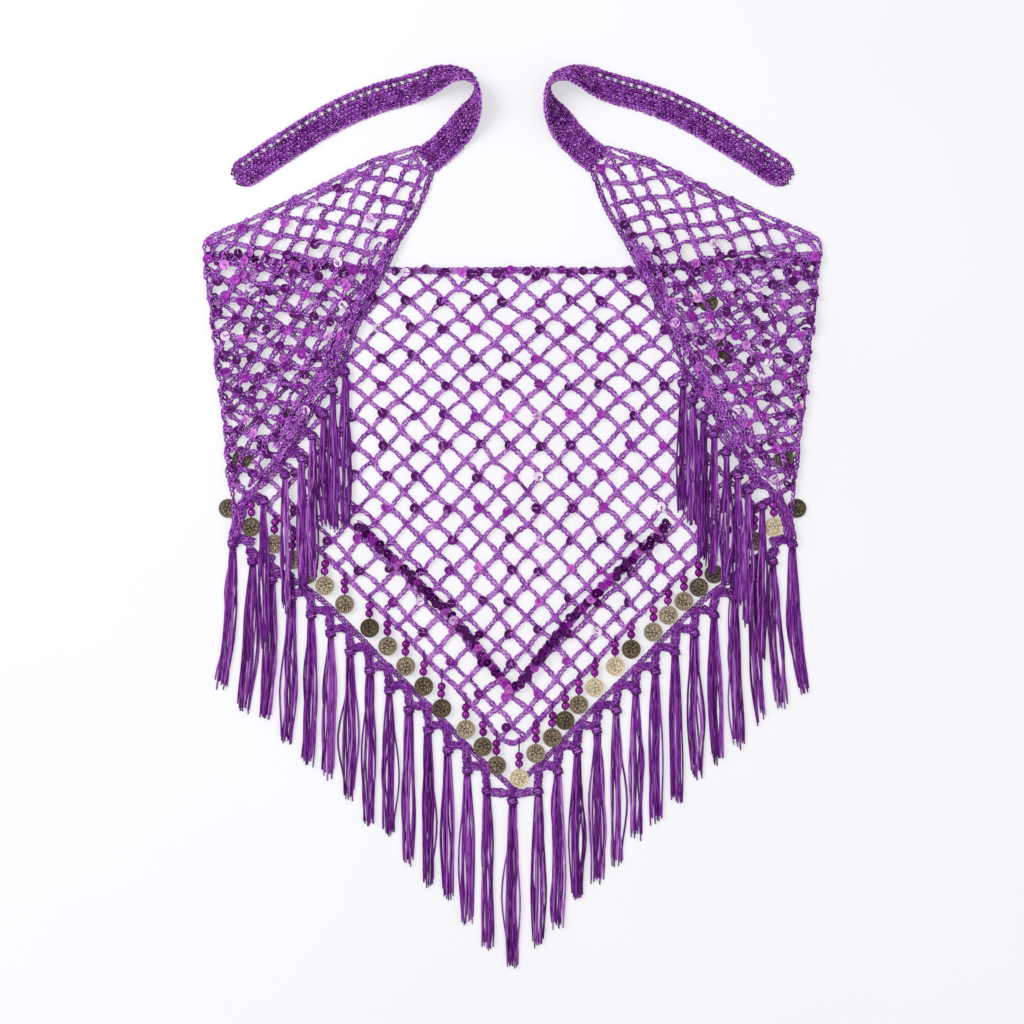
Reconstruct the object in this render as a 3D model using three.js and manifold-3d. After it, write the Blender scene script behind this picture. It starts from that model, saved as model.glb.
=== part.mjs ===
// Crochet triangle shawl, laid flat on its back: a net triangle whose two corners are folded in to
// the front, a band tie at each corner, a stepped border with tassels, and coin drops between them.
// Millimetres, +Z up, +Y towards the ties. The shawl rests on z = 0 and is centred on the origin.
// Tables give the right half: "out" is the distance from the centre line, and the left half mirrors it.
import * as THREE from "three";
import { mergeVertices } from "three/addons/utils/BufferGeometryUtils.js";
import Module from "manifold-3d";

const wasm = await Module();
wasm.setup();

// ---- driving dimensions ----
const GAP = 0.35; // between pieces that touch
const NET = 2.6; // thickness of a crocheted net
const NET_EDGE = 0.6; // bevel along the back net's outline
const FIRST_LAYER = NET + GAP; // underside of what lies on the back net
const FOLD = { topOut: 278.5, topY: 238.5, slope: 0.1135, leg: 6, lap: 1, turns: 4, innerRadius: 0.1 };
const WING = { columns: 4, edge: 0.8 };
const TIE = { width: 25, thickness: 3, edge: 0.7, rows: 42, tipLength: 11, tipTaper: 0.85 };
const BORDER = { chain: 5, stair: 7, height: 2.8, pitchOut: 17.58, pitchY: 17.1, bow: 5.5, tassels: 14 };
const STAIR = { riserIn: 1, treadDown: 1, apexDrop: 9.5, endIn: 2, endUp: 4 };
const FIRST_KNOT = { out: 23, y: -248.4 };
const POINT_KNOT = { y: -257.4, strands: 148.4 };
const KNOT = { width: 9.2, length: 9.6, height: 4.6, sides: 6, neck: 0.72 };
const STRAND = { width: 1.7, height: 1.4, count: 4, low: 0.45, layer: 1.5, rootPitch: 1.1, rootZ: 0.6 };
// Shares of a knot's length and of a strand's length, fan and drift along its way.
const STRAND_WAY = { root: 0.3, middle: 0.45, middleDrift: 0.25, endFan: 0.86 };
const STRAND_CUT = { outer: 2.4, upper: 3 }; // how much shorter the outer and the upper strands are
const TASSEL = { length: 137, shrink: 0.7, sway: 4, swayTurn: 2.1, halfWidth: 5, flare: 10 };
const WING_TASSEL = { halfWidth: 3, drift: -1 };
const COIN = { diameter: 17.2, thickness: 1.3, sides: 12, tilt: 7.5, threadEnd: 0.7 };
const BEAD = { diameter: 6.5, fromCoin: 13.1, pitch: 6.6, sides: 6, waist: 0.62, shoulder: 0.94, rise: 0.42 };
const THREAD_TO_HEM = 0.55; // clearance between a drop's thread and the net's edge
const TRIM = { width: 8.6, thin: 0.9, thick: 1.9, pitch: 9, neck: 0.72 };
const MITRE_LIMIT = 0.6; // smallest cosine that widens a cord's corner
const WELD = 1e-4; // points nearer than this are one

// ---- outlines of the laid-out shawl ----
// Upper edge of the back net, from the centre line out to the fold's foot.
const BACK_TOP = [
  { out: 0, y: 221.4 },
  { out: 101, y: 221.4 },
  { out: 191, y: 227.7 },
  { out: 271.8, y: 236.2 },
];
// Lower edge of the back net, from the fold in to the point.
const BACK_HEM = [
  { out: 247.4, y: 23 },
  { out: 231.8, y: 13.5 },
  { out: 200.3, y: -10.8 },
  { out: 168.8, y: -35.5 },
  { out: 128.3, y: -73 },
  { out: 79.7, y: -122.5 },
  { out: 41, y: -162 },
  { out: 20, y: -186 },
  { out: 11, y: -199.5 },
  { out: 0, y: -204 },
];
// A folded corner, row by row from the tie's root down the fold: its outer and inner limits, and
// the height of its underside over the surface.
const WING_ROWS = [
  { y: 328, outer: 97, inner: 86.4, lift: 0 },
  { y: 319.5, outer: 124.6, inner: 79.2, lift: 0 },
  { y: 310.5, outer: 143.5, inner: 75.6, lift: 0 },
  { y: 296, outer: 172, inner: 81, lift: 0 },
  { y: 266, outer: 236, inner: 92, lift: 0 },
  { y: 247.5, outer: 275, inner: 101, lift: 1.5 },
  { y: 238.5, outer: 0, inner: 106, lift: 3.1 },
  { y: 225, outer: 0, inner: 112, lift: 3.4 },
  { y: 190, outer: 0, inner: 128, lift: 4.7 },
  { y: 155, outer: 0, inner: 148, lift: 4.8 },
  { y: 120, outer: 0, inner: 179, lift: 4.7 },
  { y: 86, outer: 0, inner: 216, lift: 4.6 },
  { y: 70, outer: 0, inner: 232, lift: 4.6 },
  { y: 56, outer: 0, inner: 243, lift: 4.6 },
  { y: 42, outer: 0, inner: 249.4, lift: 4.6 },
];
// Centre line of a tie from its root at the corner, round its raised loop and back. Roll turns the
// band from lying on one face, over its edge, to lying on the other.
const TIE_ROUTE = [
  { out: 77, y: 318.6, roll: 0 },
  { out: 60.8, y: 332.1, roll: 0 },
  { out: 48.2, y: 345.6, roll: 6 },
  { out: 39.2, y: 360, roll: 35 },
  { out: 33.2, y: 372.6, roll: 68 },
  { out: 32.6, y: 384.3, roll: 90 },
  { out: 40.1, y: 392.9, roll: 112 },
  { out: 53.6, y: 395.4, roll: 130 },
  { out: 67.1, y: 392.4, roll: 152 },
  { out: 79.7, y: 387, roll: 170 },
  { out: 96.8, y: 381.6, roll: 180 },
  { out: 119.3, y: 375.3, roll: 180 },
  { out: 147.2, y: 364.5, roll: 180 },
  { out: 171.5, y: 351.9, roll: 180 },
  { out: 194.9, y: 337.5, roll: 180 },
  { out: 217.4, y: 323.1, roll: 180 },
  { out: 236.3, y: 310.5, roll: 180 },
  { out: 249.5, y: 302.6, roll: 180 },
];
// Upper chain of the border, from the point out to the fold.
const BORDER_CHAIN = [
  { out: 9.5, y: -231.2 },
  { out: 32.9, y: -209.7 },
  { out: 74.3, y: -166.5 },
  { out: 119.3, y: -122.4 },
  { out: 146.3, y: -94.5 },
  { out: 175, y: -67.5 },
  { out: 212, y: -42 },
  { out: 231.8, y: -27.5 },
  { out: 243, y: -16.5 },
];
// Upper chain of the folded border, from the tie's root down to the fold, and its height.
const WING_CHAIN = [
  { out: 71, y: 309, z: 0 },
  { out: 74.4, y: 298, z: 0 },
  { out: 79.7, y: 279, z: 0 },
  { out: 91.4, y: 252, z: 0 },
  { out: 98, y: 236, z: FIRST_LAYER },
  { out: 113, y: 202.5, z: FIRST_LAYER },
  { out: 128.3, y: 171, z: FIRST_LAYER },
  { out: 147, y: 139, z: FIRST_LAYER },
  { out: 165, y: 117, z: FIRST_LAYER },
  { out: 181, y: 92, z: FIRST_LAYER },
  { out: 199, y: 63, z: FIRST_LAYER },
  { out: 216, y: 38, z: FIRST_LAYER },
  { out: 236, y: 21, z: FIRST_LAYER },
  { out: 246.5, y: 6.3, z: FIRST_LAYER },
  { out: 248.9, y: -13.5, z: FIRST_LAYER + 0.4 },
  { out: 248.9, y: -23, z: KNOT.height + GAP },
];
// Tassels of the folded border: where each is knotted, its length, and what height it rests at.
const WING_TASSELS = {
  left: [
    { out: 150.6, y: 128.7, length: 136, rest: FIRST_LAYER },
    { out: 161.5, y: 112, length: 124, rest: FIRST_LAYER },
    { out: 169.5, y: 90, length: 99, rest: FIRST_LAYER },
    { out: 179.5, y: 70.2, length: 124, rest: 7 },
    { out: 189, y: 50.4, length: 118, rest: 7 },
    { out: 204.4, y: 36, length: 118, rest: 5.2 },
    { out: 223.6, y: 12.6, length: 128, rest: 5.2 },
  ],
  right: [
    { out: 153, y: 118, length: 115, rest: FIRST_LAYER },
    { out: 162, y: 103, length: 112, rest: FIRST_LAYER },
    { out: 171, y: 88.2, length: 128, rest: FIRST_LAYER },
    { out: 180.5, y: 72, length: 122, rest: 7 },
    { out: 191.5, y: 55.8, length: 118, rest: 7 },
    { out: 202.5, y: 35.1, length: 116, rest: 7 },
    { out: 211.5, y: 22, length: 120, rest: 7 },
    { out: 224, y: 8, length: 135, rest: 5.2 },
  ],
};
// Coins of the open band: the centre of each.
const COIN_DROPS = {
  left: [
    { out: 14.2, y: -225 },
    { out: 26.6, y: -208.2 },
    { out: 42, y: -192.6 },
    { out: 63.5, y: -173.7 },
    { out: 79.7, y: -153.9 },
    { out: 95.9, y: -135.9 },
    { out: 112.1, y: -117.9 },
    { out: 128.3, y: -101.6 },
    { out: 150.8, y: -80.1 },
    { out: 168.6, y: -63.6 },
    { out: 184, y: -53.4 },
    { out: 197, y: -40.2 },
    { out: 213.9, y: -26 },
    { out: 234.8, y: -10.8 },
  ],
  right: [
    { out: 20.9, y: -214.2 },
    { out: 35.8, y: -200 },
    { out: 47.2, y: -184.6 },
    { out: 59.6, y: -170.6 },
    { out: 73.8, y: -154.8 },
    { out: 92.3, y: -135.9 },
    { out: 106.7, y: -120.6 },
    { out: 126.4, y: -105.2 },
    { out: 140, y: -90 },
    { out: 154, y: -77.6 },
    { out: 167.4, y: -65 },
    { out: 181, y: -53 },
    { out: 202.1, y: -35.1 },
    { out: 217.4, y: -23.6 },
    { out: 234.8, y: -10.8 },
  ],
};
const POINT_COIN = { x: 5.9, y: -236.4 };
// Coins that lie flat without beads: those at the folds, and those between the layers.
const FOLD_COIN = { out: 255.6, y: 6, z: FIRST_LAYER - COIN.thickness - GAP };
const WING_COINS = {
  left: [
    { out: 202.5, y: 87.5 },
    { out: 243, y: 50.5 },
  ],
  right: [
    { out: 176, y: 191 },
    { out: 190.5, y: 148.5 },
    { out: 244, y: 52 },
  ],
};
// Line of the sequin cord, from the point up to where the folded corner covers it.
const TRIM_LINE = [
  { out: 0, y: -156 },
  { out: 17, y: -138 },
  { out: 41, y: -107 },
  { out: 75, y: -71 },
  { out: 105, y: -42 },
  { out: 140, y: -7 },
];

const YARN = { color: 0x87479f, roughness: 0.6, metalness: 0.25 };
const VISCOSE = { color: 0x622b79, roughness: 0.45, metalness: 0 };
const SEQUIN = { color: 0x4a1060, roughness: 0.25, metalness: 0.6 };
const METAL = { color: 0x998568, roughness: 0.45, metalness: 0.9 };

const shawl = new THREE.Group();

function addPiece(name, geometry, finish) {
  const mesh = new THREE.Mesh(geometry, new THREE.MeshStandardMaterial(finish));
  mesh.name = name;
  shawl.add(mesh);
}

// ---- solids ----
function geometryOf(points, triangles) {
  const geometry = new THREE.BufferGeometry().setFromPoints(points);
  geometry.setIndex(triangles);
  return geometry;
}

// A wall between two grids of points: rows run so that row x column points out of the top.
function wall(top, under) {
  const rows = top.length;
  const columns = top[0].length;
  const layer = rows * columns;
  const points = [...top.flat(), ...under.flat()];
  const triangles = [];
  const quad = (a, b, c, d) => triangles.push(a, b, c, a, c, d);
  const at = (row, column) => row * columns + column;
  for (let r = 0; r < rows - 1; r++) {
    for (let c = 0; c < columns - 1; c++) {
      quad(at(r, c), at(r + 1, c), at(r + 1, c + 1), at(r, c + 1));
      quad(layer + at(r, c), layer + at(r, c + 1), layer + at(r + 1, c + 1), layer + at(r + 1, c));
    }
    quad(at(r, 0), layer + at(r, 0), layer + at(r + 1, 0), at(r + 1, 0));
    const last = columns - 1;
    quad(at(r, last), at(r + 1, last), layer + at(r + 1, last), layer + at(r, last));
  }
  for (let c = 0; c < columns - 1; c++) {
    quad(at(0, c), at(0, c + 1), layer + at(0, c + 1), layer + at(0, c));
    const end = rows - 1;
    quad(at(end, c), layer + at(end, c), layer + at(end, c + 1), at(end, c + 1));
  }
  return geometryOf(points, triangles);
}

// A closed tube through rings of points that turn anticlockwise as seen along the route.
function loft(rings) {
  const sides = rings[0].length;
  const points = rings.flat();
  const triangles = [];
  for (let r = 0; r < rings.length - 1; r++) {
    for (let s = 0; s < sides; s++) {
      const a = r * sides + s;
      const b = r * sides + ((s + 1) % sides);
      triangles.push(a, b + sides, b, a, a + sides, b + sides);
    }
  }
  const end = points.length - sides;
  for (let s = 1; s < sides - 1; s++) {
    triangles.push(0, s, s + 1, end, end + s + 1, end + s);
  }
  return geometryOf(points, triangles);
}

// Sections of a cord that lies flat, as shares of its width and height.
const FLAT_CORD = [
  { across: -0.5, up: 0.5 },
  { across: -0.3, up: 0 },
  { across: 0.3, up: 0 },
  { across: 0.5, up: 0.5 },
  { across: 0.3, up: 1 },
  { across: -0.3, up: 1 },
];
const FLAT_BAR = [
  { across: -0.5, up: 0 },
  { across: 0.5, up: 0 },
  { across: 0.36, up: 1 },
  { across: -0.36, up: 1 },
];
const THIN_CORD = [
  { across: -0.5, up: 0 },
  { across: 0.5, up: 0 },
  { across: 0, up: 1 },
];

// A cord along a route that stays near level, with mitred corners. Its underside is at the route's z.
function cord(route, section, width, height) {
  const rings = route.map((point, i) => {
    const before = route[Math.max(i - 1, 0)];
    const after = route[Math.min(i + 1, route.length - 1)];
    const into = new THREE.Vector2(point.x - before.x, point.y - before.y).normalize();
    const out = new THREE.Vector2(after.x - point.x, after.y - point.y).normalize();
    const along = into.clone().add(out).normalize();
    const straightness = Math.max(along.dot(i > 0 ? into : out), MITRE_LIMIT);
    const side = new THREE.Vector3(along.y, -along.x, 0).multiplyScalar(width / straightness);
    return section.map(({ across, up }) =>
      new THREE.Vector3(point.x, point.y, point.z + up * height).addScaledVector(side, across),
    );
  });
  return loft(rings);
}

function toSolid(geometry) {
  const loose = geometry.index ? geometry.toNonIndexed() : geometry;
  const bare = new THREE.BufferGeometry().setAttribute("position", loose.getAttribute("position"));
  const welded = mergeVertices(bare, WELD);
  const vertProperties = welded.getAttribute("position").array;
  const triVerts = new Uint32Array(welded.index.array);
  return new wasm.Manifold(new wasm.Mesh({ numProp: 3, vertProperties, triVerts }));
}

function fuse(geometries) {
  const joined = geometries.map(toSolid).reduce((whole, next) => whole.add(next));
  const mesh = joined.getMesh();
  const geometry = new THREE.BufferGeometry();
  geometry.setAttribute("position", new THREE.BufferAttribute(mesh.vertProperties, 3));
  geometry.setIndex([...mesh.triVerts]);
  return geometry;
}

// The left half of what is drawn for the right half.
function onSide(geometry, side) {
  if (side === "right") return geometry;
  const mirrored = geometry.clone().scale(-1, 1, 1);
  const index = [...mirrored.index.array];
  for (let i = 0; i < index.length; i += 3) {
    [index[i + 1], index[i + 2]] = [index[i + 2], index[i + 1]];
  }
  mirrored.setIndex(index);
  return mirrored;
}

function vector(row, z = row.z ?? 0) {
  return new THREE.Vector3(row.out, row.y, z);
}

// Y of a line of table rows at a distance out from the centre.
function yAt(rows, out) {
  const sorted = [...rows].sort((a, b) => a.out - b.out);
  const i = Math.min(Math.max(sorted.findIndex((row) => row.out >= out), 1), sorted.length - 1);
  const [low, high] = [sorted[i - 1], sorted[i]];
  return THREE.MathUtils.mapLinear(out, low.out, high.out, low.y, high.y);
}

// ---- the net ----
function backNet() {
  const half = [...BACK_TOP, ...BACK_HEM];
  const otherHalf = half.slice(1, -1).reverse();
  const outline = new THREE.Shape([
    ...half.map(({ out, y }) => new THREE.Vector2(out, y)),
    ...otherHalf.map(({ out, y }) => new THREE.Vector2(-out, y)),
  ]);
  const options = {
    depth: NET - 2 * NET_EDGE,
    bevelThickness: NET_EDGE,
    bevelSize: NET_EDGE,
    bevelOffset: -NET_EDGE,
    bevelSegments: 1,
  };
  return new THREE.ExtrudeGeometry(outline, options).translate(0, 0, NET_EDGE);
}

function foldOut(y) {
  return FOLD.topOut - (FOLD.topY - y) * FOLD.slope;
}

// The level stretch of a folded corner, which ends inside the bend of its fold.
function wingSheet() {
  const grid = (rise, inset) =>
    WING_ROWS.map(({ y, outer, inner, lift }) => {
      const limit = outer ? outer - inset : foldOut(y) - FOLD.leg + FOLD.lap;
      return Array.from({ length: WING.columns }, (_, c) => {
        const out = THREE.MathUtils.lerp(inner + inset, limit, c / (WING.columns - 1));
        return new THREE.Vector3(out, y, lift + rise);
      });
    });
  return wall(grid(NET, WING.edge), grid(0, 0));
}

// The bend of the fold: a wall that turns from the upper layer round to the lower one.
function wingFold() {
  const folded = WING_ROWS.filter(({ outer }) => !outer);
  const section = ({ y, lift }, inset) => {
    const edge = foldOut(y);
    const outside = (lift + NET) / 2;
    const radius = outside - inset;
    const reach = Math.max(radius, FOLD.innerRadius);
    const line = Array.from({ length: FOLD.turns + 1 }, (_, t) => {
      const angle = Math.PI * (0.5 - t / FOLD.turns);
      const out = edge - outside + reach * Math.cos(angle);
      return new THREE.Vector3(out, y, outside + radius * Math.sin(angle));
    });
    const top = new THREE.Vector3(edge - FOLD.leg, y, outside + radius);
    const foot = new THREE.Vector3(edge - FOLD.leg, y, outside - radius);
    return [top, ...line, foot];
  };
  return wall(
    folded.map((row) => section(row, 0)),
    folded.map((row) => section(row, NET)),
  );
}

// ---- ties ----
function tie() {
  const plan = new THREE.CatmullRomCurve3(TIE_ROUTE.map((row) => vector(row, 0)));
  const rolls = new THREE.CatmullRomCurve3(
    TIE_ROUTE.map(({ roll }) => new THREE.Vector3(roll, 0, 0)),
  );
  const length = plan.getLength();
  const up = new THREE.Vector3(0, 0, 1);
  const columns = [-1, 0, 1];
  const section = (share, face) => {
    const centre = plan.getPoint(share);
    const along = plan.getTangent(share);
    const inward = new THREE.Vector3().crossVectors(along, up).normalize();
    const roll = THREE.MathUtils.degToRad(THREE.MathUtils.clamp(rolls.getPoint(share).x, 0, 180));
    const fromTip = Math.min(((1 - share) * length) / TIE.tipLength, 1);
    const half = (TIE.width / 2) * Math.sqrt(1 - TIE.tipTaper * (1 - fromTip) ** 2);
    const across = inward.clone().multiplyScalar(-Math.cos(roll)).addScaledVector(up, Math.sin(roll));
    const through = inward.clone().multiplyScalar(Math.sin(roll)).addScaledVector(up, Math.cos(roll));
    centre.z = (TIE.width / 2) * Math.sin(roll) + (TIE.thickness / 2) * Math.abs(Math.cos(roll));
    return columns.map((place) => {
      const edge = Math.abs(place) === 1 ? TIE.edge : 1;
      return centre
        .clone()
        .addScaledVector(across, place * half)
        .addScaledVector(through, (face * edge * TIE.thickness) / 2);
    });
  };
  const shares = Array.from({ length: TIE.rows + 1 }, (_, i) => i / TIE.rows);
  return wall(
    shares.map((share) => section(share, 1)),
    shares.map((share) => section(share, -1)),
  );
}

// ---- border and tassels ----
function knotPlace(k) {
  const share = k / (BORDER.tassels - 1);
  return {
    out: FIRST_KNOT.out + BORDER.pitchOut * k,
    y: FIRST_KNOT.y + BORDER.pitchY * k + BORDER.bow * Math.sin(Math.PI * share),
  };
}

// A tassel: a knot, and strands that fan out in two layers from inside it.
function tassel({ x, y, z, rest, length, halfWidth, drift }) {
  const knot = new THREE.CylinderGeometry(KNOT.neck / 2, 0.5, 1, KNOT.sides);
  knot.rotateX(Math.PI);
  knot.rotateY(Math.PI / 2);
  knot.scale(KNOT.width, KNOT.length, KNOT.height / Math.cos(Math.PI / KNOT.sides));
  knot.translate(x, y, z + KNOT.height / 2);
  const pieces = [knot];
  for (let s = 0; s < STRAND.count; s++) {
    const place = s - (STRAND.count - 1) / 2;
    const upper = s % 2;
    const top = z + STRAND.low + STRAND.rootZ + upper * STRAND.layer;
    const low = rest + STRAND.low + upper * STRAND.layer;
    const fan = (place * 2 * halfWidth) / STRAND.count;
    const cut = length - Math.abs(place) * STRAND_CUT.outer - upper * STRAND_CUT.upper;
    const middle = x + fan + drift * STRAND_WAY.middleDrift;
    const route = [
      new THREE.Vector3(x + place * STRAND.rootPitch, y - KNOT.length * STRAND_WAY.root, top),
      new THREE.Vector3(middle, y - length * STRAND_WAY.middle, low),
      new THREE.Vector3(x + fan * STRAND_WAY.endFan + drift, y - cut, low),
    ];
    pieces.push(cord(route, THIN_CORD, STRAND.width, STRAND.height));
  }
  return pieces;
}

// Treads and risers between the knots, under the upper chain.
function stair(knots, z) {
  const route = knots.flatMap((knot, k) => {
    const place = vector(knot, z);
    if (k === 0) return [place];
    const riser = knots[k - 1].out - STAIR.riserIn;
    return [new THREE.Vector3(riser, knot.y - STAIR.treadDown, z), place];
  });
  return cord(route, FLAT_BAR, BORDER.stair, BORDER.height);
}

function borderSide(side) {
  const mirror = side === "left" ? 1 : 0;
  const knots = Array.from({ length: BORDER.tassels }, (_, k) => knotPlace(k));
  const last = knots[BORDER.tassels - 1];
  const chain = BORDER_CHAIN.map((row) => vector(row, 0));
  chain.push(new THREE.Vector3(last.out - STAIR.endIn, last.y + STAIR.endUp, 0));
  const pieces = [cord(chain, FLAT_CORD, BORDER.chain, NET), stair(knots, 0)];
  knots.forEach(({ out, y }, k) => {
    const share = k / (BORDER.tassels - 1);
    const sway = TASSEL.sway * Math.sin(TASSEL.swayTurn * k + mirror);
    const length = TASSEL.length - TASSEL.shrink * k + sway;
    const drift = TASSEL.flare * share ** 3;
    pieces.push(...tassel({ x: out, y, z: 0, rest: 0, length, halfWidth: TASSEL.halfWidth, drift }));
  });
  return fuse(pieces);
}

function borderPoint() {
  const reach = FIRST_KNOT.out - KNOT.width / 2 - GAP;
  const tip = BORDER_CHAIN[0];
  const treadY = FIRST_KNOT.y + STAIR.treadDown;
  const tread = [-reach, 0, reach].map((x) => new THREE.Vector3(x, treadY, 0));
  const foot = new THREE.Vector3(0, POINT_KNOT.y, 0);
  const apex = new THREE.Vector3(0, tip.y - STAIR.apexDrop, 0);
  const arm = tip.out - GAP;
  const chain = [new THREE.Vector3(-arm, tip.y, 0), apex, new THREE.Vector3(arm, tip.y, 0)];
  const pieces = [
    cord(tread, FLAT_BAR, BORDER.stair, BORDER.height),
    cord([apex, foot], FLAT_BAR, BORDER.stair, BORDER.height),
    cord(chain, FLAT_CORD, BORDER.chain, NET),
  ];
  const { y, strands: length } = POINT_KNOT;
  pieces.push(...tassel({ x: 0, y, z: 0, rest: 0, length, halfWidth: TASSEL.halfWidth, drift: 0 }));
  return fuse(pieces);
}

function wingBorder(side) {
  const tassels = WING_TASSELS[side];
  const chain = WING_CHAIN.map((row) => vector(row));
  const pieces = [
    cord(chain, FLAT_CORD, BORDER.chain, NET),
    stair([...tassels].reverse(), FIRST_LAYER),
  ];
  tassels.forEach(({ out, y, length, rest }) => {
    pieces.push(...tassel({ x: out, y, z: FIRST_LAYER, rest, length, ...WING_TASSEL }));
  });
  return fuse(pieces);
}

// ---- coins ----
function coinDisc(x, y, z, tilt) {
  const radius = COIN.diameter / 2;
  const disc = new THREE.CylinderGeometry(radius, radius, COIN.thickness, COIN.sides);
  disc.rotateX(Math.PI / 2 + THREE.MathUtils.degToRad(tilt));
  return disc.translate(x, y, z + COIN.thickness / 2);
}

// Two beads on their thread, turned in one round about it, from the coin's rim up to the net's hem.
function beadString(out, from, firstBead, to, z) {
  const radius = BEAD.diameter / 2;
  const shoulder = radius * BEAD.shoulder;
  const rise = radius * BEAD.rise;
  const last = firstBead + BEAD.pitch;
  const profile = [new THREE.Vector2(0, from), new THREE.Vector2(BEAD.waist, from)];
  for (const middle of [firstBead, last]) {
    profile.push(new THREE.Vector2(shoulder, middle - rise));
    profile.push(new THREE.Vector2(shoulder, middle + rise));
    profile.push(new THREE.Vector2(BEAD.waist, middle + radius));
  }
  profile.push(new THREE.Vector2(BEAD.waist, to));
  profile.push(new THREE.Vector2(0, to));
  return new THREE.LatheGeometry(profile, BEAD.sides).translate(out, 0, z);
}

// A coin under two beads on a thread from the net's lower edge. It leans on the surface, or lies on
// the border's chain where it reaches it.
function coinDrop(out, y) {
  const radius = COIN.diameter / 2;
  const chainY = yAt(BORDER_CHAIN, out);
  const onChain = (y - chainY) * Math.SQRT1_2 < radius + BORDER.chain / 2 + GAP;
  const tilt = onChain ? 0 : COIN.tilt;
  const lean = radius * Math.sin(THREE.MathUtils.degToRad(tilt));
  const coinZ = onChain ? FIRST_LAYER : lean + GAP;
  const hem = Math.min(...[-BEAD.waist, 0, BEAD.waist].map((step) => yAt(BACK_HEM, out + step)));
  const from = y + radius - COIN.threadEnd;
  const beads = beadString(out, from, y + BEAD.fromCoin, hem - THREAD_TO_HEM, BEAD.diameter / 2);
  return fuse([coinDisc(out, y, coinZ, tilt), beads]);
}

// ---- sequin cord ----
function sequinTrim() {
  const half = TRIM_LINE.map((row) => vector(row, 0));
  const otherHalf = half.slice(1).reverse();
  const whole = [...otherHalf.map(({ x, y }) => new THREE.Vector3(-x, y, 0)), ...half];
  const line = new THREE.CatmullRomCurve3(whole);
  const sequins = Math.round(line.getLength() / TRIM.pitch);
  const rows = 2 * sequins;
  const section = (i, face) => {
    const raised = i % 2 === 0;
    const centre = line.getPointAt(i / rows);
    const along = line.getTangentAt(i / rows);
    const width = TRIM.width * (raised ? TRIM.neck : 1);
    const height = face * (raised ? TRIM.thick : TRIM.thin);
    return [1, -1].map(
      (side) =>
        new THREE.Vector3(
          centre.x - (side * along.y * width) / 2,
          centre.y + (side * along.x * width) / 2,
          FIRST_LAYER + height,
        ),
    );
  };
  const steps = Array.from({ length: rows + 1 }, (_, i) => i);
  return wall(
    steps.map((i) => section(i, 1)).map((pair) => pair.reverse()),
    steps.map((i) => section(i, 0)).map((pair) => pair.reverse()),
  );
}

// ---- assembly ----
addPiece("net_back", backNet(), YARN);
addPiece("sequin_trim", sequinTrim(), SEQUIN);
addPiece("border_point", borderPoint(), VISCOSE);
const pointCoin = coinDrop(POINT_COIN.x, POINT_COIN.y);
addPiece("coin_drop_point", pointCoin, METAL);
for (const side of ["left", "right"]) {
  addPiece(`net_wing_${side}`, onSide(fuse([wingSheet(), wingFold()]), side), YARN);
  addPiece(`tie_${side}`, onSide(tie(), side), YARN);
  addPiece(`border_${side}`, onSide(borderSide(side), side), VISCOSE);
  addPiece(`wing_border_${side}`, onSide(wingBorder(side), side), VISCOSE);
  COIN_DROPS[side].forEach(({ out, y }, i) => {
    const number = String(i + 1).padStart(2, "0");
    addPiece(`coin_drop_${side}_${number}`, onSide(coinDrop(out, y), side), METAL);
  });
  const foldCoin = coinDisc(FOLD_COIN.out, FOLD_COIN.y, FOLD_COIN.z, 0);
  addPiece(`fold_coin_${side}`, onSide(foldCoin, side), METAL);
  WING_COINS[side].forEach(({ out, y }, i) => {
    const coin = coinDisc(out, y, FIRST_LAYER, 0);
    addPiece(`wing_coin_${side}_${i + 1}`, onSide(coin, side), METAL);
  });
}

export default shawl;
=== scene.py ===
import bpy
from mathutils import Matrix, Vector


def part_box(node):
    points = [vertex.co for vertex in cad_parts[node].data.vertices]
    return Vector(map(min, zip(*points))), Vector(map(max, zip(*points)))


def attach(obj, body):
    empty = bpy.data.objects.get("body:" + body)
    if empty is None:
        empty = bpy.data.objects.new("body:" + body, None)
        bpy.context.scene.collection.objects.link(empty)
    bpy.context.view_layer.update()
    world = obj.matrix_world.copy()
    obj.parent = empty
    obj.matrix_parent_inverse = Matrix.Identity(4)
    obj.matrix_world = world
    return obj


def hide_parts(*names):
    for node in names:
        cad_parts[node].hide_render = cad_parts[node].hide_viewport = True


bl_info = {
    "name": "Crochet Triangle Shawl",
    "version": (1, 0, 0),
    "blender": (4, 5, 0),
    "location": "View3D > Sidebar > Shawl",
    "description": "Crochets the folded shawl round its frame: net, ties, border, tassels, sequins and coins",
    "category": "Object",
}

import math

import bpy
import numpy as np
from bpy.props import FloatProperty, FloatVectorProperty, IntProperty, PointerProperty
from mathutils import Vector

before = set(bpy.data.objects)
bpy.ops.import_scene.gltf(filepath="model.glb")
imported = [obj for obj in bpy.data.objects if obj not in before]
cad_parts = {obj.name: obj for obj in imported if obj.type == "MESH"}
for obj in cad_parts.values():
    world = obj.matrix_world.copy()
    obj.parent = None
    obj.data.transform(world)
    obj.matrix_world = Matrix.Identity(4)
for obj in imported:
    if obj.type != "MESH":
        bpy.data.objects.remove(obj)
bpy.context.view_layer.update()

MM = 0.001
UP = np.array([0.0, 0.0, 1.0])
SIDES = {"left": -1.0, "right": 1.0}

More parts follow.
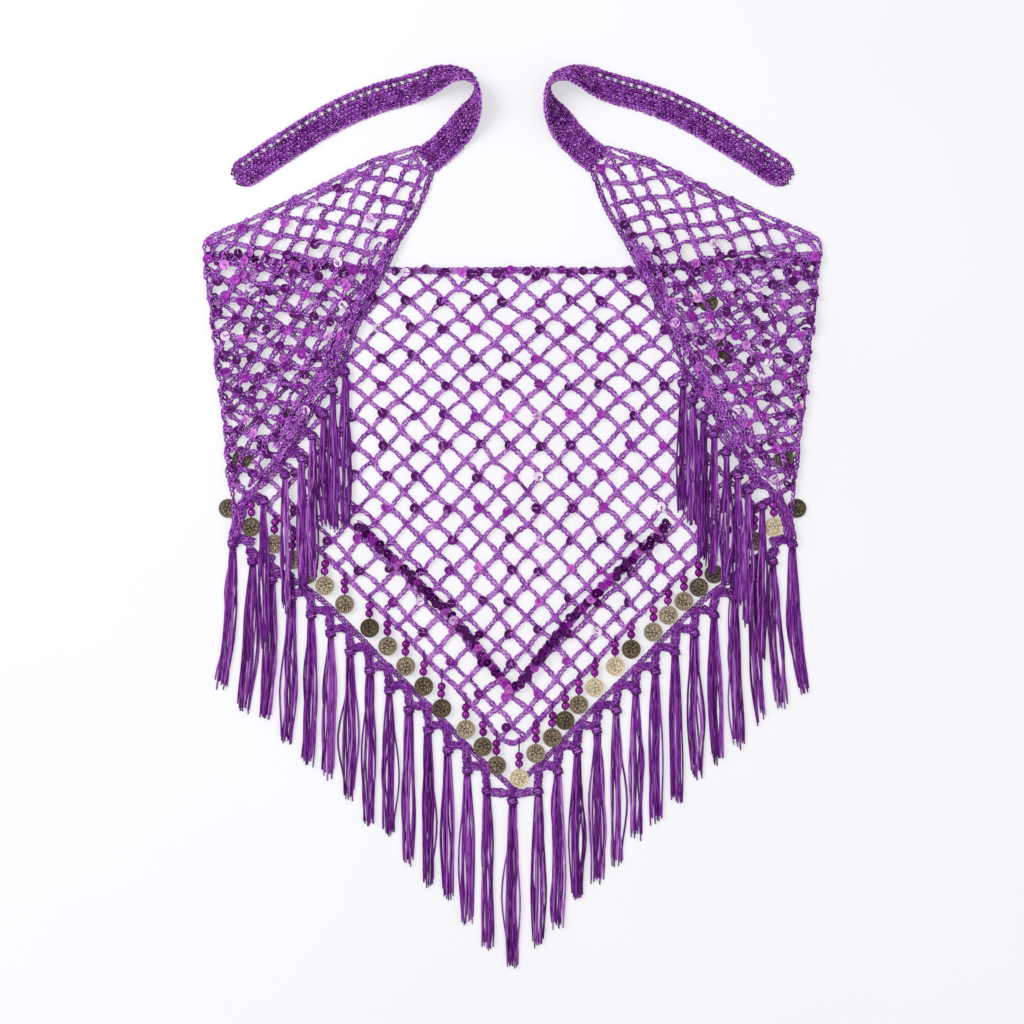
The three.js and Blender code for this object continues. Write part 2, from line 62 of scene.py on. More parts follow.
# ---- sizes of the laid-out shawl, in millimetres; tables give the half at "out" from the centre line ----
GAP = 0.35  # between pieces that touch
NET = 2.6  # thickness of the crocheted net
FIRST_LAYER = NET + GAP  # underside of what lies on the back net
FOLD = {"top_out": 278.5, "top_y": 238.5, "start_y": 247.5, "slope": 0.1135}
TIE = {"width": 25.0, "thickness": 3.0, "tip_length": 12.5, "tip_taper": 0.96}
BORDER = {"pitch_out": 17.58, "pitch_y": 17.1, "bow": 5.5, "tassels": 14}
FIRST_KNOT = (23.0, -248.4)
POINT_KNOT = (0.0, -257.4)
POINT_STRANDS = 148.4
TASSEL = {"length": 137.0, "shrink": 0.7, "sway": 4.0, "half_width": 6.9, "flare": 10.0}
FOLDED_TASSEL_HALF_WIDTH = 5.4
KNOT = {"length": 9.6, "height": 4.6}
COIN = {"diameter": 17.2, "tilt": 7.5}
BEAD = {"diameter": 7.6, "from_coin": 13.1, "pitch": 6.6}

# Upper edge of the back net, then its lower edge: out, y.
BACK_TOP = [(0, 221.4), (101, 221.4), (191, 227.7), (271.8, 236.2)]
BACK_HEM = [
    (247.4, 23), (231.8, 13.5), (200.3, -10.8), (168.8, -36.5), (134.5, -71), (111, -93.5),
    (93, -112), (66.5, -141), (52, -154), (40, -168), (24, -185), (11, -201), (0, -206),
]
# A folded corner: y, outer limit (0 where the fold is), inner limit, height of its underside.
WING_ROWS = [
    (328, 97, 86.4, 0), (319.5, 124.6, 79.2, 0), (310.5, 143.5, 75.6, 0), (296, 172, 81, 0),
    (266, 236, 92, 0), (247.5, 275, 101, 1.5), (238.5, 0, 106, 3.1), (225, 0, 112, 3.4),
    (190, 0, 128, 4.7), (155, 0, 148, 4.8), (120, 0, 179, 4.7), (86, 0, 216, 4.6),
    (70, 0, 232, 4.6), (56, 0, 243, 4.6), (42, 0, 249.4, 4.6), (24, 0, 251, 4.6),
]
# Centre line of a tie: out, y, roll in degrees.
TIE_ROUTE = [
    (77, 318.6, 0), (60.8, 332.1, 0), (48.2, 345.6, 6), (39.2, 360, 35), (33.2, 372.6, 68),
    (32.6, 384.3, 90), (40.1, 392.9, 112), (53.6, 395.4, 130), (67.1, 392.4, 152),
    (79.7, 387, 170), (96.8, 381.6, 180), (119.3, 375.3, 180), (147.2, 364.5, 180),
    (171.5, 351.9, 180), (194.9, 337.5, 180), (217.4, 323.1, 180), (236.3, 310.5, 180),
    (249.5, 302.6, 180),
]
# Upper chain of the border, from the point out to the fold: out, y.
BORDER_CHAIN = [
    (9.5, -231.2), (32.9, -209.7), (74.3, -166.5), (119.3, -122.4), (146.3, -94.5),
    (175, -67.5), (212, -42), (231.8, -27.5), (243, -16.5),
]
BORDER_DROP = 6.0  # how far the chain hangs below that line
# Chain along the folded corner's inner edge, from the tie down to the fold: out, y, height.
WING_CHAIN = [
    (72.5, 309, 0), (79, 290, 0), (86.5, 273, 0), (95, 258.5, 0), (103.5, 244, FIRST_LAYER),
    (111.5, 228, FIRST_LAYER), (119.5, 212, FIRST_LAYER), (134, 182, FIRST_LAYER),
    (142, 165, FIRST_LAYER), (149, 146, FIRST_LAYER), (157, 128, FIRST_LAYER),
    (166, 113, FIRST_LAYER), (177, 98, FIRST_LAYER), (194, 69, FIRST_LAYER),
    (206, 48, FIRST_LAYER), (220, 31, FIRST_LAYER), (236, 19, FIRST_LAYER),
    (245, 4, FIRST_LAYER), (248.9, -13.5, FIRST_LAYER + 0.4), (250, -23, KNOT["height"] + GAP),
]
# Tassels of the folded border: out, y, length, height that the strands rest at.
WING_TASSELS = {
    "left": [
        (150.6, 128.7, 136, FIRST_LAYER), (161.5, 112, 124, FIRST_LAYER),
        (169.5, 90, 99, FIRST_LAYER), (179.5, 70.2, 124, 7), (189, 50.4, 118, 7),
        (204.4, 36, 118, 5.2), (223.6, 12.6, 128, 5.2),
    ],
    "right": [
        (153, 118, 115, FIRST_LAYER), (162, 103, 112, FIRST_LAYER),
        (171, 88.2, 128, FIRST_LAYER), (180.5, 72, 122, 7), (191.5, 55.8, 118, 7),
        (202.5, 35.1, 116, 7), (211.5, 22, 120, 7), (224, 8, 135, 5.2),
    ],
}
# Line of the sequin cord, from the point up to where the folded corner covers it: out, y.
TRIM_LINE = [(0, -156), (17, -138), (41, -107), (75, -71), (105, -42), (140, -7)]

# ---- the crochet's own pattern ----
NET_TOP_ROW = 204.3  # y of row 0 of the back net's knots
NET_ROW = {"upper": 12.6, "lower": 13.95, "change": 8}
NET_PITCH = {"top": 29.1, "middle": 27.2, "centre_shift": -4.5, "middle_y": -12.0}
WING_NODE = (202.95, 267.3)
WING_FLAT_LEG = (-15.75, -3.0)
WING_STEEP_LEG = (7.65, -15.3)
WING_REACH = {"below_y": 160, "past_chain": 2}  # where the corner's net runs in under the border's chain
CORNER_TOP_END = [(88, 331), (80, 330)]  # where a corner's upper edge runs in under the tie
FOLD_END = [(250.5, 6, 3.6), (250.5, -8, 3.6)]  # where the fold's edge runs out: out, y, height
KNOT_UNEVEN = {"back": 0.95, "corner": 1.1}
LINKS_PER_LEG = 4
LOOP_OVERLAP = 1.4  # length of a loop over the distance to the next one
EDGE_PITCH = 4.2
ROPE_PITCH = 3.4
RISER = (-1.9, 0.2, 2.1)  # the chains of a riser and of a tread, side by side
TREAD = (-2.0, 0, 2.0)
FOLD_ROPE = (-3.4, -1.2, 1.2, 3.4)
REST = 0.6  # what reaches below this height is pressed flat just above the surface
SEQUIN_RISE = 1.7
SEQUIN_LEAN = 0.35

# ---- shades run from 0, painted shade deep in the crochet, to 1, painted light on its lit top; random tone is mixed in ----
LOOP_SHADES = (0.3, 0.72)
KNOT_SHADES = (0.25, 0.65)
LOOP_PAINTED_LIGHT = 0.26  # painted light: rise of a loop's shade for each millimetre of its height
# painted light for tie stitches and knot cords: rise of their shade for each millimetre of height
STITCH_PAINTED_LIGHT = 0.34
CORD_PAINTED_LIGHT = 0.13
CORNER_PAINTED_SHADE = -0.1  # painted shade: the folded corners' yarn is coloured darker where it lies double


# ---------------------------------------------------------------- small shapes
def unit(vectors):
    """The vectors at length one."""
    return vectors / np.maximum(np.linalg.norm(vectors, axis=-1, keepdims=True), 1e-9)


def tube_faces(rings, sides, closed):
    """Faces between rings of points; an open tube ends in fans round its last two points."""
    row = np.arange(rings if closed else rings - 1)[:, None]
    side = np.arange(sides)[None]
    after = (side + 1) % sides
    below = (row + 1) % rings * sides
    row = row * sides
    quads = np.stack([row + side, row + after, below + after, below + side], -1).reshape(-1, 4)
    if closed:
        return quads, np.zeros((0, 3), int)
    side, after, first = side[0], after[0], rings * sides
    end = first - sides
    fans = [
        np.stack([np.full(sides, first), after, side], -1),
        np.stack([np.full(sides, first + 1), end + side, end + after], -1),
    ]
    return quads, np.vstack(fans)


def swept(path, radii, sides, closed=False):
    """A round tube along a path; an open one has flat ends."""
    path = np.asarray(path, float)
    count = len(path)
    if closed:
        along = unit(np.roll(path, -1, 0) - np.roll(path, 1, 0))
    else:
        along = unit(np.gradient(path, axis=0))
    across = unit(np.cross(UP, along))
    over = np.cross(along, across)
    turn = np.arange(sides) * 2 * math.pi / sides
    radii = np.broadcast_to(radii, count)
    ring = np.cos(turn)[None, :, None] * across[:, None] + np.sin(turn)[None, :, None] * over[:, None]
    points = (path[:, None] + ring * radii[:, None, None]).reshape(-1, 3)
    if not closed:
        points = np.vstack([points, path[0], path[-1]])
    return points, *tube_faces(count, sides, closed)


def turned(profile, sides, closed=False):
    """A profile of (radius, height) turned about Z; an open one starts and ends on the axis."""
    profile = np.asarray(profile, float)
    turn = np.arange(sides) * 2 * math.pi / sides
    ring = profile if closed else profile[1:-1]
    radius, height = ring[:, :1], np.repeat(ring[:, 1:], sides, 1)
    points = np.stack([radius * np.cos(turn), radius * np.sin(turn), height], -1).reshape(-1, 3)
    if not closed:
        points = np.vstack([points, [0, 0, profile[0, 1]], [0, 0, profile[-1, 1]]])
    return points, *tube_faces(len(ring), sides, closed)


def loop_shape(length, width, yarn, steps, sides, lean=0.55, taper=0.32):
    """One crochet loop: narrow and high where it leaves the loop before, wide and low at its far end."""
    turn = np.arange(steps) * 2 * math.pi / steps
    x = -np.cos(turn)
    y = np.sin(turn) * (1 + taper * x)
    path = np.stack([x * length / 2, y * width / 2, -lean * x], -1)
    return swept(path, yarn / 2, sides, closed=True)


class Heap:
    """Many small shapes that become one mesh, each with a shade of its own and one of the finishes."""

    # tone shifts all the heap's shades; the folded corners use it for painted shade
    def __init__(self, tone=0.0):
        self.tone = tone
        self.points, self.quads, self.tris, self.shades = [], [], [], []
        self.quad_looks, self.tri_looks = [], []
        self.count = 0

    def add(self, shape, shade, look=0):
        """One shape where it is."""
        self.copies(shape, np.eye(4)[None], np.array([shade]), look)

    def copies(self, shape, places, shades, look=0, painted_light_rise=0.0):
        """A shape at many places; the last argument paints light: it says how much its shade rises with its
        own height.
        """
        points, quads, tris = shape
        copies, size = len(places), len(points)
        moved = points @ places[:, :3, :3].transpose(0, 2, 1) + places[:, None, :3, 3]
        start = self.count + np.arange(copies)[:, None, None] * size
        self.points.append(moved.reshape(-1, 3))
        self.quads.append((quads[None] + start).reshape(-1, 4))
        self.tris.append((tris[None] + start).reshape(-1, 3))
        self.shades.append((shades[:, None] + points[None, :, 2] * painted_light_rise).ravel() + self.tone)
        self.quad_looks.append(np.full(len(self.quads[-1]), look))
        self.tri_looks.append(np.full(len(self.tris[-1]), look))
        self.count += copies * size

    def piece(self, name, finishes):
        """The mesh object of all the shapes, in metres."""
        points = np.concatenate(self.points)
        height = points[:, 2].copy()
        if height.min() < 0:
            pressed = REST * np.exp(np.minimum(height, REST) / REST - 1)
            points[:, 2] = np.where(height < REST, pressed, height)
        points *= MM
        quads, tris = np.concatenate(self.quads), np.concatenate(self.tris)
        corners = np.concatenate([quads.ravel(), tris.ravel()]).astype(np.int32)
        sizes = np.concatenate([np.full(len(quads), 4), np.full(len(tris), 3)])
        starts = np.concatenate([[0], np.cumsum(sizes)[:-1]]).astype(np.int32)
        mesh = bpy.data.meshes.new(name)
        mesh.vertices.add(len(points))
        mesh.loops.add(len(corners))
        mesh.polygons.add(len(sizes))
        mesh.vertices.foreach_set("co", points.astype(np.float32).ravel())
        mesh.polygons.foreach_set("loop_start", starts)
        mesh.polygons.foreach_set("vertices", corners)
        looks = np.concatenate(self.quad_looks + self.tri_looks).astype(np.int32)
        mesh.polygons.foreach_set("material_index", looks)
        mesh.update(calc_edges=True)
        mesh.polygons.foreach_set("use_smooth", np.full(len(sizes), True))
        shade = mesh.attributes.new("shade", "FLOAT", "POINT")
        shade.data.foreach_set("value", np.concatenate(self.shades).astype(np.float32))
        for material in finishes:
            mesh.materials.append(material)
        made = bpy.data.objects.new(name, mesh)
        bpy.context.scene.collection.objects.link(made)
        return made


def places(centres, along, up, roll=0.0, size=1.0):
    """Where copies go: at their centres, X along, Z towards up and rolled about X."""
    centres = np.asarray(centres, float)
    count = len(centres)
    along = unit(np.broadcast_to(along, (count, 3)).astype(float))
    side = unit(np.cross(np.broadcast_to(up, (count, 3)), along))
    over = np.cross(along, side)
    cos = np.cos(np.broadcast_to(roll, count))[:, None]
    sin = np.sin(np.broadcast_to(roll, count))[:, None]
    size = np.broadcast_to(np.asarray(size, float), (count, 3))
    made = np.zeros((count, 4, 4))
    made[:, :3, 0] = along * size[:, :1]
    made[:, :3, 1] = (side * cos + over * sin) * size[:, 1:2]
    made[:, :3, 2] = (over * cos - side * sin) * size[:, 2:3]
    made[:, :3, 3] = centres
    made[:, 3, 3] = 1
    return made


# ---------------------------------------------------------------- lines and outlines
def smooth_line(points, per):
    """A centripetal curve through the points, each stretch cut into the same number of steps."""
    points = np.asarray(points, float)
    ends = np.vstack([2 * points[0] - points[1], points, 2 * points[-1] - points[-2]])
    made = []
    for i in range(len(points) - 1):
        a, b, c, d = ends[i : i + 4]
        ab, bc, cd = (max(np.linalg.norm(q - p) ** 0.5, 1e-4) for p, q in ((a, b), (b, c), (c, d)))
        leave = ((b - a) / ab - (c - a) / (ab + bc) + (c - b) / bc) * bc
        arrive = ((c - b) / bc - (d - b) / (bc + cd) + (d - c) / cd) * bc
        t = np.arange(per)[:, None] / per
        made.append(
            b + leave * t + (-3 * b + 3 * c - 2 * leave - arrive) * t**2
            + (2 * b - 2 * c + leave + arrive) * t**3
        )
    return np.vstack([*made, points[-1:]])


def even(line, pitch):
    """The line again with points about one pitch apart."""
    line = np.asarray(line, float)
    along = np.concatenate([[0], np.cumsum(np.linalg.norm(np.diff(line, axis=0), axis=1))])
    at = np.linspace(0, along[-1], max(int(round(along[-1] / pitch)), 1) + 1)
    return sampled(line, along, at)


def sampled(rows, along, at):
    """A table's columns read off where asked for."""
    return np.stack([np.interp(at, along, rows[:, k]) for k in range(rows.shape[1])], -1)


def beside(line, distance):
    """The line moved to its left in plan by a distance."""
    flat = unit(np.gradient(line[:, :2], axis=0))
    moved = np.array(line, float)
    moved[:, 0] -= flat[:, 1] * distance
    moved[:, 1] += flat[:, 0] * distance
    return moved


def inside(outline, points):
    """Whether each plan point lies within a closed outline."""
    outline = np.asarray(outline, float)
    x, y = points[:, 0], points[:, 1]
    within = np.zeros(len(points), bool)
    for (ax, ay), (bx, by) in zip(outline, np.roll(outline, -1, 0)):
        if ay == by:
            continue
        within ^= ((ay > y) != (by > y)) & (x < (bx - ax) * (y - ay) / (by - ay) + ax)
    return within


def mirrored(points, side):
    """Points of the right half, on the side asked for."""
    points = np.array(points, float)
    points[:, 0] *= side
    return points


def mirrored_whole(half):
    """A line of the right half, carried on over the centre line."""
    half = np.array(half, float)
    left = half[::-1] * ([-1] + [1] * (half.shape[1] - 1))
    return np.vstack([left[:-1] if half[0][0] == 0 else left, half])


def read_off(rows, at):
    """The second column of a table where its first column has a value."""
    rows = sorted(rows)
    return float(np.interp(at, [row[0] for row in rows], [row[1] for row in rows]))


def fold_out(y):
    """How far out the fold's edge lies."""
    return FOLD["top_out"] - (FOLD["top_y"] - y) * FOLD["slope"]


def wing_table():
    """The folded corner's rows as arrays that rise with y."""
    rows = np.array(WING_ROWS, float)[::-1]
    y, outer, inner, lift = rows.T
    outer = np.where(outer > 0, outer, fold_out(y))
    chain_out, chain_y, _ = np.array(WING_CHAIN, float)[::-1].T
    reach = np.minimum(inner, np.interp(y, chain_y, chain_out) + WING_REACH["past_chain"])
    inner = np.where(y < WING_REACH["below_y"], reach, inner)
    return y, outer, inner, lift


# ---------------------------------------------------------------- crochet
def crochet_loop(settings):
    """The loop that every chain is made of, at the chosen yarn and size."""
    yarn = settings.yarn / MM
    length = settings.loop_pitch / MM * LOOP_OVERLAP
    return loop_shape(length, settings.chain_width / MM - yarn, yarn, settings.loop_steps, 4)


def chain(heap, loop, line, rng, swing=0.45, size=1.0, pitch=EDGE_PITCH):
    """A crochet chain along a line in space."""
    cuts = even(line, pitch)
    centres = (cuts[1:] + cuts[:-1]) / 2
    along = cuts[1:] - cuts[:-1]
    count = len(centres)
    stretch = np.linalg.norm(along, axis=1) / pitch
    sizes = np.stack([stretch * size, *(np.full(count, float(size)),) * 2], -1)
    where = places(centres, along, UP, rng.normal(0, swing, count), sizes)
    heap.copies(loop, where, rng.uniform(*LOOP_SHADES, count), painted_light_rise=LOOP_PAINTED_LIGHT)


def chains_beside(heap, loop, line, offsets, sign, rng, swing, size):
    """Chains side by side along a line of the right half, on the side asked for."""
    for offset in offsets:
        chain(heap, loop, mirrored(beside(line, offset), sign), rng, swing, size)


def net_of_legs(starts, ends, rng, arch=0.8):
    """Centres and directions of the loops along legs that arch upwards a little."""
    share = (np.arange(LINKS_PER_LEG) + 0.5) / LINKS_PER_LEG
    legs = len(starts)
    reach = ends - starts
    normal = np.stack([-reach[:, 1], reach[:, 0]], -1)
    normal = unit(normal * np.where(normal[:, 1:] < 0, -1, 1))
    bow = rng.normal(arch, 0.8, legs)[:, None]
    at = starts[:, None] + reach[:, None] * share[None, :, None]
    at = at + normal[:, None] * (bow * np.sin(math.pi * share))[..., None]
    slope = (bow * math.pi * np.cos(math.pi * share))[..., None] * normal[:, None]
    along = reach[:, None] + slope
    roll = rng.normal(0, 0.55, (legs, 1)) + rng.normal(0, 0.25, (legs, LINKS_PER_LEG))
    spans = np.repeat(np.linalg.norm(reach, axis=1), LINKS_PER_LEG)
    return at.reshape(-1, 2), along.reshape(-1, 2), spans, roll.ravel()


def runs_beside(line, at, along, reach, slope=0.45):
    """Whether loops lie close to a line and run along it."""
    beside_it = np.zeros(len(at), bool)
    heading = unit(along)
    for start, end in zip(line[:-1], line[1:]):
        step = end - start
        share = np.clip(((at - start) @ step) / (step @ step), 0, 1)
        gap = np.linalg.norm(at - start - share[:, None] * step, axis=1)
        across = np.abs(heading[:, 0] * step[1] - heading[:, 1] * step[0]) / np.linalg.norm(step)
        beside_it |= (gap < reach) & (across < slope)
    return beside_it


def net_row_y(row):
    """Height in plan of a row of the back net's knots."""
    upper = np.minimum(row, NET_ROW["change"]) * NET_ROW["upper"]
    return NET_TOP_ROW - upper - np.maximum(row - NET_ROW["change"], 0) * NET_ROW["lower"]


def back_lattice(rng):
    """Plan places of the back net's knots, row by row."""
    rows = np.arange(-3, 33)
    columns = np.arange(-11, 12)
    y = net_row_y(rows)[:, None] + 0 * columns[None]
    share = np.clip((NET_TOP_ROW - y) / (NET_TOP_ROW - NET_PITCH["middle_y"]), 0, 1.4)
    pitch = NET_PITCH["top"] + (NET_PITCH["middle"] - NET_PITCH["top"]) * share
    shift = NET_PITCH["centre_shift"] * (1 - np.minimum(share, 1))
    stagger = (rows[:, None] % 2) * 0.5
    x = shift + pitch * (columns[None] + 0.5 - stagger)
    nodes = np.stack([x, y], -1)
    return nodes + rng.normal(0, KNOT_UNEVEN["back"], nodes.shape), rows


def back_outline():
    """Plan outline of the back net, both halves."""
    half = BACK_TOP + BACK_HEM
    return half + [(-x, y) for x, y in half[1:-1][::-1]]


def lay_back(plan, rise=0.0):
    """Where plan points of the open back net lie in space, and which way it faces."""
    where = np.hstack([plan, np.full((len(plan), 1), NET / 2 + rise)])
    return where, np.broadcast_to(UP, where.shape)


def lay_wing(plan, rise=0.0):
    """Where plan points of a folded corner lie in space, round its fold, and which way it faces."""
    out, y = plan[:, 0], plan[:, 1]
    table_y, _, _, lifts = wing_table()
    lift = np.interp(y, table_y, lifts)
    radius = np.maximum(lift / 2, 0.2)
    bend = fold_out(y) - radius - NET / 2
    past = np.where(y < FOLD["start_y"], out - bend, -1.0)
    angle = np.clip(past / radius, 0, math.pi)
    reach = radius + rise
    x = np.where(past > 0, bend + reach * np.sin(angle), out)
    x = x - np.maximum(past - math.pi * radius, 0)
    round_fold = lift / 2 + NET / 2 + reach * np.cos(angle)
    height = np.where(past > 0, round_fold, lift + NET / 2 + rise)
    facing = np.stack([np.where(past > 0, np.sin(angle), 0), 0 * y, np.cos(angle)], -1)
    return np.stack([x, y, height], -1), facing


def wing_outline():
    """Plan outline of a folded corner with the strip that turns under at its fold."""
    y, outer, inner, lift = wing_table()
    turn = np.where(y < FOLD["start_y"], (math.pi / 2) * lift + 1, 0)
    edge = np.stack([outer + turn, y], -1)
    return np.vstack([edge, np.stack([inner, y], -1)[::-1]])


def wing_lattice(rng):
    """Plan places of the slanted net's knots in a folded corner."""
    flat, steep = np.arange(-18, 19), np.arange(-6, 26)
    nodes = (
        np.array(WING_NODE)
        + flat[None, :, None] * np.array(WING_FLAT_LEG)
        + steep[:, None, None] * np.array(WING_STEEP_LEG)
    )
    return nodes + rng.normal(0, KNOT_UNEVEN["corner"], nodes.shape)


def knit_knots(heap, loop, centres, up, rng):
    """The knots where legs meet: two short loops drawn over each other."""
    count = len(centres)
    for turn, side in ((0.4, 0.7), (2.1, -0.6)):
        heading = turn + rng.normal(0, 0.4, count)
        along = np.stack([np.cos(heading), np.sin(heading), 0 * heading], -1)
        lifted = centres + up * rng.uniform(0.1, 0.9, count)[:, None] + along * side
        sizes = rng.uniform(0.85, 1.1, count)[:, None] * np.array([0.82, 0.95, 1.15])
        where = places(lifted, along, up, rng.normal(0, 0.45, count), sizes)
        heap.copies(loop, where, rng.uniform(*KNOT_SHADES, count), painted_light_rise=LOOP_PAINTED_LIGHT)


def add_net(heap, loop, at, along, spans, roll, lay, rng, pitch, width=1.0):
    """Loops of the net's legs, laid on their surface."""
    half = unit(along) * (spans / LINKS_PER_LEG / 2)[:, None]
    start, up_start = lay(at - half)
    end, up_end = lay(at + half)
    count = len(at)
    sizes = np.ones((count, 3))
    sizes[:, 0] = spans / LINKS_PER_LEG / pitch
    sizes[:, 1] = rng.uniform(0.85, 1.12, count) * width
    where = places((start + end) / 2, end - start, up_start + up_end, roll, sizes)
    heap.copies(loop, where, rng.uniform(*LOOP_SHADES, count), painted_light_rise=LOOP_PAINTED_LIGHT)


# ---------------------------------------------------------------- finishes
class Nodes:
    """A short way to write a material's node tree."""

    def __init__(self, name):
        self.material = bpy.data.materials.new(name)
        self.material.use_nodes = True
        self.tree = self.material.node_tree
        self.tree.nodes.clear()
        self.shader = self.add("ShaderNodeBsdfPrincipled")
        out = self.add("ShaderNodeOutputMaterial")
        self.join(self.shader.outputs["BSDF"], out.inputs["Surface"])

    def add(self, kind, **values):
        """A new node with its settings."""
        node = self.tree.nodes.new(kind)
        for key, value in values.items():
            setattr(node, key, value)
        return node

    def join(self, source, target):
        self.tree.links.new(source, target)

    def set(self, **values):
        """Plain values on the shader's own sockets."""
        for key, value in values.items():
            self.shader.inputs[key.replace("_", " ")].default_value = value

    def shade(self):
        """The shade that each point of a heap carries."""
        return self.add("ShaderNodeAttribute", attribute_name="shade").outputs["Fac"]

    def place(self, scale):
        """The place on the object, stretched along its axes."""
        where = self.add("ShaderNodeTexCoord").outputs["Object"]
        mapping = self.add("ShaderNodeMapping")
        mapping.inputs["Scale"].default_value = scale
        self.join(where, mapping.inputs["Vector"])
        return mapping.outputs["Vector"]

    def noise(self, scale, detail=2.0, stretch=(1, 1, 1)):
        node = self.add("ShaderNodeTexNoise")
        node.inputs["Scale"].default_value = scale
        node.inputs["Detail"].default_value = detail
        self.join(self.place(stretch), node.inputs["Vector"])
        return node.outputs["Fac"]

    def ramp(self, source, stops):
        """Colours at stops along a value."""
        node = self.add("ShaderNodeValToRGB")
        elements = node.color_ramp.elements
        while len(elements) < len(stops):
            elements.new(0.5)
        for element, (place, colour) in zip(elements, stops):
            element.position = place
            element.color = (*colour, 1)
        self.join(source, node.inputs["Fac"])
        return node.outputs["Color"]

    def mix(self, factor, first, second):
        """A colour that turns into a plain second one."""
        node = self.add("ShaderNodeMix", data_type="RGBA")
        self.join(factor, node.inputs[0])
        self.join(first, node.inputs[6])
        node.inputs[7].default_value = (*second, 1)
        return node.outputs[2]

    def spread(self, source, low, high, to_low=0.0, to_high=1.0):
        """A value between two limits, spread over two others."""
        node = self.add("ShaderNodeMapRange")
        limits = {"From Min": low, "From Max": high, "To Min": to_low, "To Max": to_high}
        for key, value in limits.items():
            node.inputs[key].default_value = value
        self.join(source, node.inputs["Value"])
        return node.outputs["Result"]

    def bump(self, source, distance, strength=1.0):
        node = self.add("ShaderNodeBump")
        node.inputs["Distance"].default_value = distance
        node.inputs["Strength"].default_value = strength
        self.join(source, node.inputs["Height"])
        self.join(node.outputs["Normal"], self.shader.inputs["Normal"])


def deeper(colour, share):
    """Darker and richer: the green falls off faster than the rest."""
    red, green, blue = colour
    return (red * share, green * share**2, blue * share)


def brighter(colour, share):
    """Paler and still strong in colour: the green rises less than the rest."""
    red, green, blue = (c + (1 - c) * share for c in colour)
    return (red, colour[1] + (green - colour[1]) * 0.45, blue)


VIOLET_GLOSS = (0.7, 0.25, 0.85, 1.0)


def yarn_finish(colour):
    """Twisted yarn with a glittering thread in it: its specks of glitter are painted glints, and its shades
    carry painted light and shade.
    """
    n = Nodes("glitter_yarn")
    base = tuple(colour)
    # the shade ramp paints light and shade: darkest deep in the crochet, palest on lit tops, with random tone
    # between
    body = n.ramp(n.shade(), [
        (0.0, deeper(base, 0.12)), (0.3, deeper(base, 0.42)), (0.6, base), (1.0, brighter(base, 0.45)),
    ])
    flecks = n.noise(620.0, 1.0)
    body = n.mix(n.spread(flecks, 0.34, 0.46, 0.28, 0.0), body, deeper(base, 0.3))
    body = n.mix(n.spread(flecks, 0.56, 0.68, 0.0, 0.18), body, brighter(base, 0.5))
    # painted glints: specks of the yarn coloured near-white, where the lurex thread catches the light
    painted_glint = n.spread(n.noise(900.0, 0.0), 0.7, 0.77)
    n.join(n.mix(painted_glint, body, (0.93, 0.72, 0.96)), n.shader.inputs["Base Color"])
    n.join(n.spread(painted_glint, 0, 1, 0.45, 0.25), n.shader.inputs["Roughness"])
    n.set(Specular_IOR_Level=0.2, Specular_Tint=VIOLET_GLOSS)
    n.bump(n.noise(1500.0, 2.0), 0.0004, 0.6)
    return n.material


def thread_finish(colour):
    """Smooth rayon cord with fine streaks along it."""
    n = Nodes("rayon_thread")
    base = tuple(colour)
    # the shade ramp carries each strand's random tone, and on crochet and knots painted light and shade by
    # height
    body = n.ramp(n.shade(), [
        (0.0, deeper(base, 0.2)), (0.35, deeper(base, 0.55)), (0.7, base), (1.0, brighter(base, 0.34)),
    ])
    streaks = n.noise(1.0, 3.0, (1500, 90, 1500))
    body = n.mix(n.spread(streaks, 0.32, 0.5, 0.85, 0.0), body, deeper(base, 0.22))
    body = n.mix(n.spread(streaks, 0.5, 0.75, 0.0, 0.6), body, brighter(base, 0.3))
    n.join(body, n.shader.inputs["Base Color"])
    n.set(Roughness=0.4, Specular_IOR_Level=0.25, Specular_Tint=VIOLET_GLOSS)
    n.bump(streaks, 0.0003, 0.5)
    return n.material


def sequin_finish(colour):
    """Cupped plastic sequins; most are dark, and the high shades are painted reflections: magenta sheen up to
    near-white glare.
    """
    n = Nodes("sequin_gloss")
    base = tuple(colour)
    # shades above the base colour paint reflections: magenta sheen, then near-white glare
    body = n.ramp(n.shade(), [
        (0.0, deeper(base, 0.5)), (0.52, base), (0.64, (0.2, 0.008, 0.25)), (0.78, (0.46, 0.035, 0.52)),
        (0.89, (0.78, 0.2, 0.78)), (0.97, (0.98, 0.88, 0.98)),
    ])
    n.join(n.mix(n.spread(n.noise(260.0), 0.35, 0.7, 0.45, 0.0), body, deeper(base, 0.5)),
           n.shader.inputs["Base Color"])
    n.set(Roughness=0.22, Specular_IOR_Level=0.4, Specular_Tint=VIOLET_GLOSS, Coat_Weight=0.15,
          Coat_Roughness=0.08)
    n.bump(n.noise(900.0), 0.0001, 0.4)
    return n.material


def coin_finish(colour):
    """Stamped base metal, some bright and some browned with age."""
    n = Nodes("aged_coin_metal")
    base = tuple(colour)
    body = n.ramp(n.shade(), [
        (0.0, (0.02, 0.013, 0.007)), (0.35, (0.11, 0.082, 0.05)), (0.65, base), (1.0, (0.95, 0.8, 0.56)),
    ])
    tarnish = n.spread(n.noise(700.0, 3.0), 0.4, 0.62, 0.3, 0.0)
    body = n.mix(tarnish, body, (0.07, 0.05, 0.03))
    n.join(body, n.shader.inputs["Base Color"])
    n.join(n.spread(tarnish, 0, 0.3, 0.45, 0.6), n.shader.inputs["Roughness"])
    n.set(Metallic=0.75)
    n.bump(n.noise(1100.0, 3.0), 0.0002, 0.2)
    return n.material


